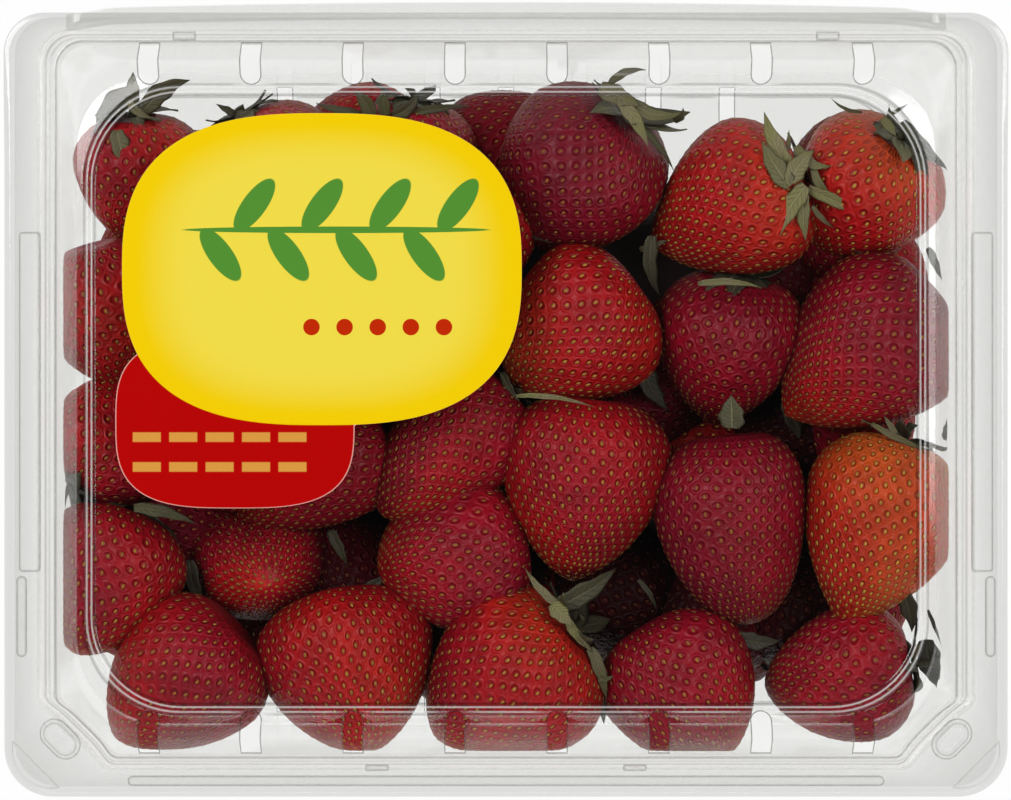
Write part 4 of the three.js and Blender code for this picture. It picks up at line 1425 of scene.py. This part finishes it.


# Leaves that the photograph shows: base and tip in the frame's pixels and their heights in millimetres, width
# and sideways bow in pixels, and tone (0 dark, 1 pale), which is partly the leaf's own colour and partly
# painted shade for leaves low in the gaps.
Leaf = namedtuple("Leaf", "x0 y0 z0 x1 y1 z1 width bow tone")
LEAVES = [Leaf(*row) for row in (
    (134, 92, 62, 99, 140, 52, 26, 8, 0.4), (100, 128, 52, 78, 165, 46, 9, 2, 0.3),
    (132, 104, 62, 133, 72, 64, 15, 0, 0.4), (143, 112, 62, 190, 80, 60, 21, -6, 0.4),
    (117, 130, 68, 133, 170, 66, 19, 3, 0.5), (128, 100, 66, 153, 118, 66, 9, 4, 0.7),
    (238, 116, 58, 216, 104, 60, 8, 0, 0.3), (236, 115, 60, 281, 112, 60, 15, 3, 0.4),
    (362, 114, 60, 316, 103, 62, 10, -2, 0.4), (372, 116, 62, 354, 90, 64, 15, 2, 0.5),
    (385, 116, 62, 382, 89, 64, 13, 0, 0.5), (392, 116, 62, 418, 92, 62, 14, 5, 0.3),
    (402, 116, 60, 470, 106, 60, 9, -2, 0.4), (610, 84, 72, 646, 70, 68, 9, -5, 0.3),
    (600, 88, 72, 640, 106, 73, 20, 0, 0.6), (618, 98, 73, 648, 147, 71, 15, -3, 0.8),
    (628, 98, 72, 684, 112, 70, 14, 10, 0.5), (674, 120, 66, 683, 108, 72, 9, 3, 0.3),
    (638, 124, 68, 674, 171, 60, 7, -3, 0.3), (642, 208, 60, 606, 241, 52, 17, -3, 0.15),
    (652, 236, 62, 660, 296, 52, 16, 6, 0.2), (640, 250, 58, 668, 240, 60, 8, 0, 0.5),
    (792, 176, 71, 764, 112, 70, 19, -3, 0.9), (790, 186, 73, 762, 142, 73, 22, -2, 0.5),
    (790, 182, 73, 814, 150, 71, 20, -3, 0.8), (788, 150, 70, 789, 130, 68, 5, 0, 0.6),
    (796, 146, 70, 832, 166, 70, 12, 8, 0.7), (806, 186, 72, 779, 237, 70, 20, 4, 0.8),
    (804, 192, 72, 806, 241, 70, 14, 2, 0.6), (808, 188, 70, 876, 213, 66, 13, 3, 0.8),
    (812, 166, 70, 842, 210, 66, 9, 5, 0.6), (812, 206, 70, 834, 228, 64, 6, 2, 0.6),
    (862, 112, 62, 831, 98, 64, 4, -4, 0.4), (888, 116, 66, 908, 104, 66, 4, 0, 0.3),
    (883, 118, 70, 896, 136, 70, 11, 0, 0.6), (902, 122, 66, 950, 170, 54, 15, 4, 0.1),
    (926, 150, 60, 944, 204, 46, 16, 3, 0.05), (838, 232, 60, 892, 257, 54, 15, 4, 0.2),
    (928, 248, 56, 942, 280, 50, 9, 0, 0.2), (952, 312, 50, 970, 352, 46, 10, -2, 0.0),
    (516, 396, 73, 594, 407, 72, 6, -4, 0.8), (502, 372, 60, 520, 402, 60, 9, 2, 0.3),
    (732, 428, 66, 731, 395, 68, 26, 0, 0.25), (698, 284, 71, 762, 288, 71, 8, -4, 0.7),
    (872, 424, 66, 936, 452, 62, 7, 3, 0.6), (896, 434, 66, 884, 416, 66, 7, 0, 0.6),
    (934, 446, 56, 956, 446, 52, 5, 3, 0.4), (946, 440, 52, 950, 418, 54, 10, 0, 0.1),
    (900, 588, 60, 912, 632, 52, 20, -3, 0.1), (926, 640, 52, 940, 688, 40, 24, 3, 0.0),
    (918, 650, 50, 950, 680, 42, 14, 3, 0.0), (928, 610, 54, 941, 644, 50, 4, 0, 0.1),
    (560, 606, 66, 525, 568, 64, 9, -3, 0.9), (552, 604, 70, 572, 626, 70, 17, 0, 0.8),
    (556, 606, 62, 616, 568, 56, 24, 4, 0.3), (566, 618, 68, 593, 652, 64, 10, 2, 0.8),
    (590, 648, 64, 606, 700, 58, 13, -3, 0.6), (598, 680, 62, 615, 674, 60, 5, 2, 0.7),
    (594, 690, 58, 604, 724, 50, 11, -2, 0.3), (638, 580, 54, 657, 612, 50, 6, -3, 0.3),
    (736, 636, 56, 780, 640, 52, 18, 4, 0.15), (134, 508, 66, 196, 524, 62, 13, -4, 0.4),
    (80, 470, 54, 66, 494, 48, 9, 0, 0.2), (352, 600, 52, 384, 574, 54, 18, 3, 0.2),
    (330, 530, 50, 348, 566, 48, 12, 0, 0.5), (560, 240, 60, 520, 232, 58, 10, 0, 0.1),
    (640, 360, 52, 668, 410, 46, 22, 4, 0.15), (660, 330, 50, 652, 372, 46, 16, 0, 0.1),
    (786, 398, 48, 800, 440, 44, 20, 0, 0.1), (190, 560, 52, 204, 612, 46, 16, 3, 0.15),
)]


def seen_at(px, py, z):
    """The place, in millimetres, at a height that the camera shows at a pixel of the frame."""
    scale = MM_PER_PX * (FLANGE_HEIGHT + CAMERA_ABOVE_FLANGE - z) / CAMERA_ABOVE_FLANGE
    return np.array([(px - PACK_CENTRE_PX[0]) * scale, (PACK_CENTRE_PX[1] - py) * scale, z])


def placed_leaf_grid(leaf, number):
    """One leaf in its place: a closed lens section carried along a bowed, arched path.

    The half width is a sine of the distance to a power, so that it is widest near the base. The section
    folds at the rib and ripples along its edges, and leans to one side.
    """
    base = seen_at(leaf.x0, leaf.y0, leaf.z0)
    tip = seen_at(leaf.x1, leaf.y1, leaf.z1)
    run = tip - base
    length = np.linalg.norm(run)
    flat = np.array([-run[1], run[0], 0]) / max(1e-6, np.hypot(run[0], run[1]))
    bow = -leaf.bow * MM_PER_PX
    s = np.linspace(0, 1, 13)[:, None]
    hump = 4 * s * (1 - s)
    path = base + run * s + flat * bow * hump + np.array([0, 0, 1]) * 0.07 * length * hump
    along = np.gradient(path, axis=0)
    along /= np.linalg.norm(along, axis=1, keepdims=True)
    lean = 0.45 * draw(number + 0.21)
    side = np.cross(np.array([0, 0, 1.0]), along)
    side /= np.linalg.norm(side, axis=1, keepdims=True)
    up = np.cross(along, side)
    side, up = side * math.cos(lean) + up * math.sin(lean), up * math.cos(lean) - side * math.sin(lean)
    across = np.concatenate([np.linspace(-1, 1, 8), np.linspace(1, -1, 8)[1:-1]])[None]
    face = np.concatenate([[0], np.ones(6), [0], -np.ones(6)])[None]
    half = leaf.width * MM_PER_PX / 2 * np.sin(math.pi * (0.14 + 0.86 * s) ** 0.8)
    half = np.maximum(half, 0.05) * (1 + 0.10 * np.sin(17 * s + 3 * draw(number + 0.22)) * np.sign(across))
    thick = 0.15 * face * np.sqrt(1 - across ** 2)
    ripple = 0.06 * half * np.sin(14 * s + 4 * draw(number + 0.23)) * across
    lift = 0.28 * half * (np.abs(across) - 0.5) + ripple + thick
    points = path[:, None] + side[:, None] * (half * across)[..., None] + up[:, None] * lift[..., None]
    rows = kept_in_room(points, gap=0.2)
    values = np.stack(np.broadcast_arrays(across, s, leaf.tone), axis=-1).astype(float)
    return closed_grid(capped(rows)), capped(values)


def leaf_material():
    """Wilting leaves: olive, from dark to pale by tone, which is partly painted shade, greyer in patches,
    with a pale rib and side veins, and painted shade deep in the heap."""
    settings = bpy.context.scene.punnet_fruit
    shader = Shader("leaf_olive")
    across = abs(shader.attribute("leaf_across"))
    vein = (shader.attribute("leaf_along") * 8.0 - across * 1.6).fract()
    lines = abs(vein - 0.5).smooth(0.40, 0.5).maximum(across.smooth(0.05, 0.16, 1.0, 0.0))
    patches = shader.noise(160.0).smooth(0.35, 0.65)
    pale = shader.mix(patches, tuple(settings.leaf), tuple(settings.dry))
    tone = shader.mix(shader.attribute("leaf_tone"), tuple(settings.shade), pale)
    veined = shader.mix(lines * 0.3, tone, (0.38, 0.37, 0.17))
    # Painted shade: leaves low in the heap go nearly black.
    deep = shader.position()[2].smooth(52.0, 74.0, 0.8, 0.0)
    color = shader.mix(deep, veined, (0.020, 0.016, 0.008))
    surface = shader.principled(base_color=color, roughness=0.6, normal=shader.bump(lines, 0.15))
    return shader.finish(surface)


def core_shade_material():
    """The heap's dark inside: a painted shade block, seen only in the gaps between berries."""
    shader = Shader("core_painted_shade")
    tone = shader.mix(shader.noise(90.0).smooth(0.4, 0.7), (0.018, 0.010, 0.008), (0.03, 0.006, 0.008))
    return shader.finish(shader.principled(base_color=tone, roughness=0.7))


class PUNNET_OT_core(bpy.types.Operator):
    """Core: a rounded block inside the heap, dark as painted shade, which the berries hide"""

    bl_idname = "punnet.core"
    bl_label = "Core"

    def execute(self, context):
        rows = level_rings([
            level(0.1, 0.1, 0.1, 8, 0.05, 0.05),
            level(76, 54, 50, 8, 20, 20),
            level(80, 57, 52, 14, 22, 22),
            level(80, 57, 50, 24, 22, 22),
            level(74, 50, 44, 30, 22, 22),
            level(0.1, 0.1, 0.1, 30, 0.05, 0.05),
        ])
        core = grid_object("heap_core", [closed_grid(rows)])
        dress(core, "base", core_shade_material(), "fruit", "strawberry_heap")
        return {"FINISHED"}


class PUNNET_OT_berries(bpy.types.Operator):
    """Berries: the upper layer where the photograph shows it, and the lower layer under it"""

    bl_idname = "punnet.berries"
    bl_label = "Berries"

    def execute(self, context):
        top = berry_object("berries_top", TOP_FRUIT, 0, *TOP_STEPS)
        low = berry_object("berries_low", hidden_fruit(), len(TOP_FRUIT), *HIDDEN_STEPS)
        # The lower layer's skin is a shaded copy: its weaker gloss is painted shade for berries deep in the
        # heap.
        for made, name, gloss in ((top, "berry_skin", 0.28), (low, "berry_skin_shaded", 0.10)):
            dress(made, "base", skin_material(name, gloss), "fruit", "strawberry_heap")
        return {"FINISHED"}


class PUNNET_OT_seeds(bpy.types.Operator):
    """Seeds: a small oval in each dimple"""

    bl_idname = "punnet.seeds"
    bl_label = "Seeds"

    def execute(self, context):
        coat = seed_material()
        top = seed_object("seeds_top", TOP_FRUIT, 0, TOP_SEED_SIDES)
        low = seed_object("seeds_low", hidden_fruit(), len(TOP_FRUIT), HIDDEN_SEED_SIDES)
        for made in (top, low):
            dress(made, "base", coat, "fruit", "strawberry_heap")
        return {"FINISHED"}


class PUNNET_OT_crowns(bpy.types.Operator):
    """Crowns: curling leaves and a cut stalk at the leaf end of the berries that show them"""

    bl_idname = "punnet.crowns"
    bl_label = "Crowns"

    def execute(self, context):
        fruits = TOP_FRUIT + hidden_fruit()
        crowns = [
            leaf_grid(fruit, number, k) for number, fruit in enumerate(fruits) for k in range(fruit.leaves)
        ]
        stalks = [stalk_grid(fruit, number) for number, fruit in enumerate(fruits) if fruit.leaves]
        placed_leaves = [placed_leaf_grid(leaf, number) for number, leaf in enumerate(LEAVES)]
        olive = leaf_material()
        for name, leaves in (("crown_leaves", crowns), ("long_leaves", placed_leaves)):
            made = grid_object(name, [grid for grid, _ in leaves])
            values = np.concatenate([pole_values(value) for _, value in leaves])
            for k, attribute in enumerate(("leaf_across", "leaf_along", "leaf_tone")):
                set_attribute(made, attribute, "FLOAT", values[:, k])
            dress(made, "base", olive, "fruit", "strawberry_heap")
        dress(grid_object("crown_stalks", stalks), "base", olive, "fruit", "strawberry_heap")
        return {"FINISHED"}


# Studio

FLOOR_HALF = 3000.0
CYCLES_SETTINGS = dict(
    use_denoising=True, use_adaptive_sampling=True, adaptive_threshold=0.04,
    max_bounces=4, diffuse_bounces=2, glossy_bounces=3, transparent_max_bounces=16,
)

LAMP_TARGET = (0, 0, 50)

# Each lamp's place and size in millimetres, and its power in watts
LAMPS = [
    ("key_lamp", (-600, 350, 1000), (500, 700), 8.1),
    ("side_lamp", (650, 200, 950), (500, 700), 5.5),
    ("front_lamp", (0, -700, 900), (900, 400), 3.4),
]


def area_light(name, place, target, size, power):
    """A soft lamp at a place, in millimetres, that faces a target."""
    data = bpy.data.lights.new(name, "AREA")
    data.shape = "RECTANGLE"
    data.size = size[0] * MM
    data.size_y = size[1] * MM
    data.energy = power
    lamp = bpy.data.objects.new(name, data)
    direction = np.array(target, dtype=float) - np.array(place, dtype=float)
    direction /= np.linalg.norm(direction)
    azimuth = math.atan2(direction[0], -direction[1])
    tilt = math.acos(-direction[2])
    lamp.rotation_euler = (tilt, 0, azimuth + math.pi)
    lamp.location = [value * MM for value in place]
    bpy.context.scene.collection.objects.link(lamp)


def floor_material():
    """A pale floor that glows evenly, as a light table does."""
    shader = Shader("pale_floor")
    return shader.finish(shader.node("ShaderNodeEmission", None, {"Color": WHITE, "Strength": 0.99}))


def studio_world():
    """White surroundings that are bright level with the pack and nearly dark overhead."""
    world = bpy.data.worlds.new("studio")
    shader = Shader("studio", world)
    direction = shader.node("ShaderNodeTexCoord", output="Generated")
    strength = abs(shader.split(direction)[2]).smooth(0.1, 0.7, 0.30, 0.02)
    shader.finish(
        shader.node("ShaderNodeBackground", None, {"Color": WHITE, "Strength": strength}),
        "ShaderNodeOutputWorld",
    )
    world.cycles.sampling_method = "NONE"
    return world


class PUNNET_OT_stage(bpy.types.Operator):
    """Stage: a pale floor, soft lamps and a camera straight above"""

    bl_idname = "punnet.stage"
    bl_label = "Stage"

    def execute(self, context):
        scene = context.scene
        corners = FLOOR_HALF * np.array([[-1, -1, 0], [1, -1, 0], [1, 1, 0], [-1, 1, 0]])
        floor = make_object("floor", corners, [np.array([[0, 1, 2, 3]])])
        floor.data.materials.append(floor_material())
        floor.data.materials[0].cycles.emission_sampling = "NONE"
        for name, place, size, power in LAMPS:
            area_light(name, place, LAMP_TARGET, size, power)
        scene.world = studio_world()
        self.add_camera(scene)
        scene.view_settings.view_transform = "Standard"
        for name, value in CYCLES_SETTINGS.items():
            setattr(scene.cycles, name, value)
        return {"FINISHED"}

    @staticmethod
    def add_camera(scene):
        """Straight down from above the flange, with the photograph's scale there and the pack's centre off
        the frame's middle by the photograph's own amount."""
        data = bpy.data.cameras.new("camera")
        data.sensor_fit = "HORIZONTAL"
        data.sensor_width = 36.0
        data.lens = data.sensor_width * CAMERA_ABOVE_FLANGE / (FRAME_WIDTH_PX * MM_PER_PX)
        camera = bpy.data.objects.new("camera", data)
        camera.location = (
            (FRAME_WIDTH_PX / 2 - PACK_CENTRE_PX[0]) * MM_PER_PX * MM,
            (PACK_CENTRE_PX[1] - FRAME_HEIGHT_PX / 2) * MM_PER_PX * MM,
            (FLANGE_HEIGHT + CAMERA_ABOVE_FLANGE) * MM,
        )
        scene.collection.objects.link(camera)
        scene.camera = camera


class PUNNET_PT_panel(bpy.types.Panel):
    """Punnet's sizes, colours and parts"""

    bl_idname = "PUNNET_PT_panel"
    bl_label = "Strawberry punnet"
    bl_space_type = "VIEW_3D"
    bl_region_type = "UI"
    bl_category = "Punnet"

    def draw(self, context):
        for group in SETTINGS:
            box = self.layout.box()
            settings = getattr(context.scene, group)
            for name in settings.bl_rna.properties.keys():
                if name not in ("rna_type", "name"):
                    box.prop(settings, name)
        for operator in OPERATORS:
            self.layout.operator(operator.bl_idname)


SETTINGS = {
    "punnet_plastic": PlasticSettings,
    "punnet_fruit": FruitSettings,
    "punnet_label": LabelSettings,
}
OPERATORS = [
    PUNNET_OT_stage, PUNNET_OT_core, PUNNET_OT_berries, PUNNET_OT_seeds, PUNNET_OT_crowns,
    PUNNET_OT_tub, PUNNET_OT_lid, PUNNET_OT_hinge, PUNNET_OT_flange_details, PUNNET_OT_label,
]


def register():
    for cls in (*SETTINGS.values(), *OPERATORS, PUNNET_PT_panel):
        bpy.utils.register_class(cls)
    for name, cls in SETTINGS.items():
        setattr(bpy.types.Scene, name, bpy.props.PointerProperty(type=cls))


def unregister():
    for name in SETTINGS:
        delattr(bpy.types.Scene, name)
    for cls in reversed((*SETTINGS.values(), *OPERATORS, PUNNET_PT_panel)):
        bpy.utils.unregister_class(cls)


def main():
    """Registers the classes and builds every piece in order."""
    register()
    bpy.ops.punnet.stage()
    bpy.ops.punnet.core()
    bpy.ops.punnet.berries()
    bpy.ops.punnet.seeds()
    bpy.ops.punnet.crowns()
    bpy.ops.punnet.tub()
    bpy.ops.punnet.lid()
    bpy.ops.punnet.hinge()
    bpy.ops.punnet.flange_details()
    bpy.ops.punnet.label()


if __name__ == "__main__":
    main()
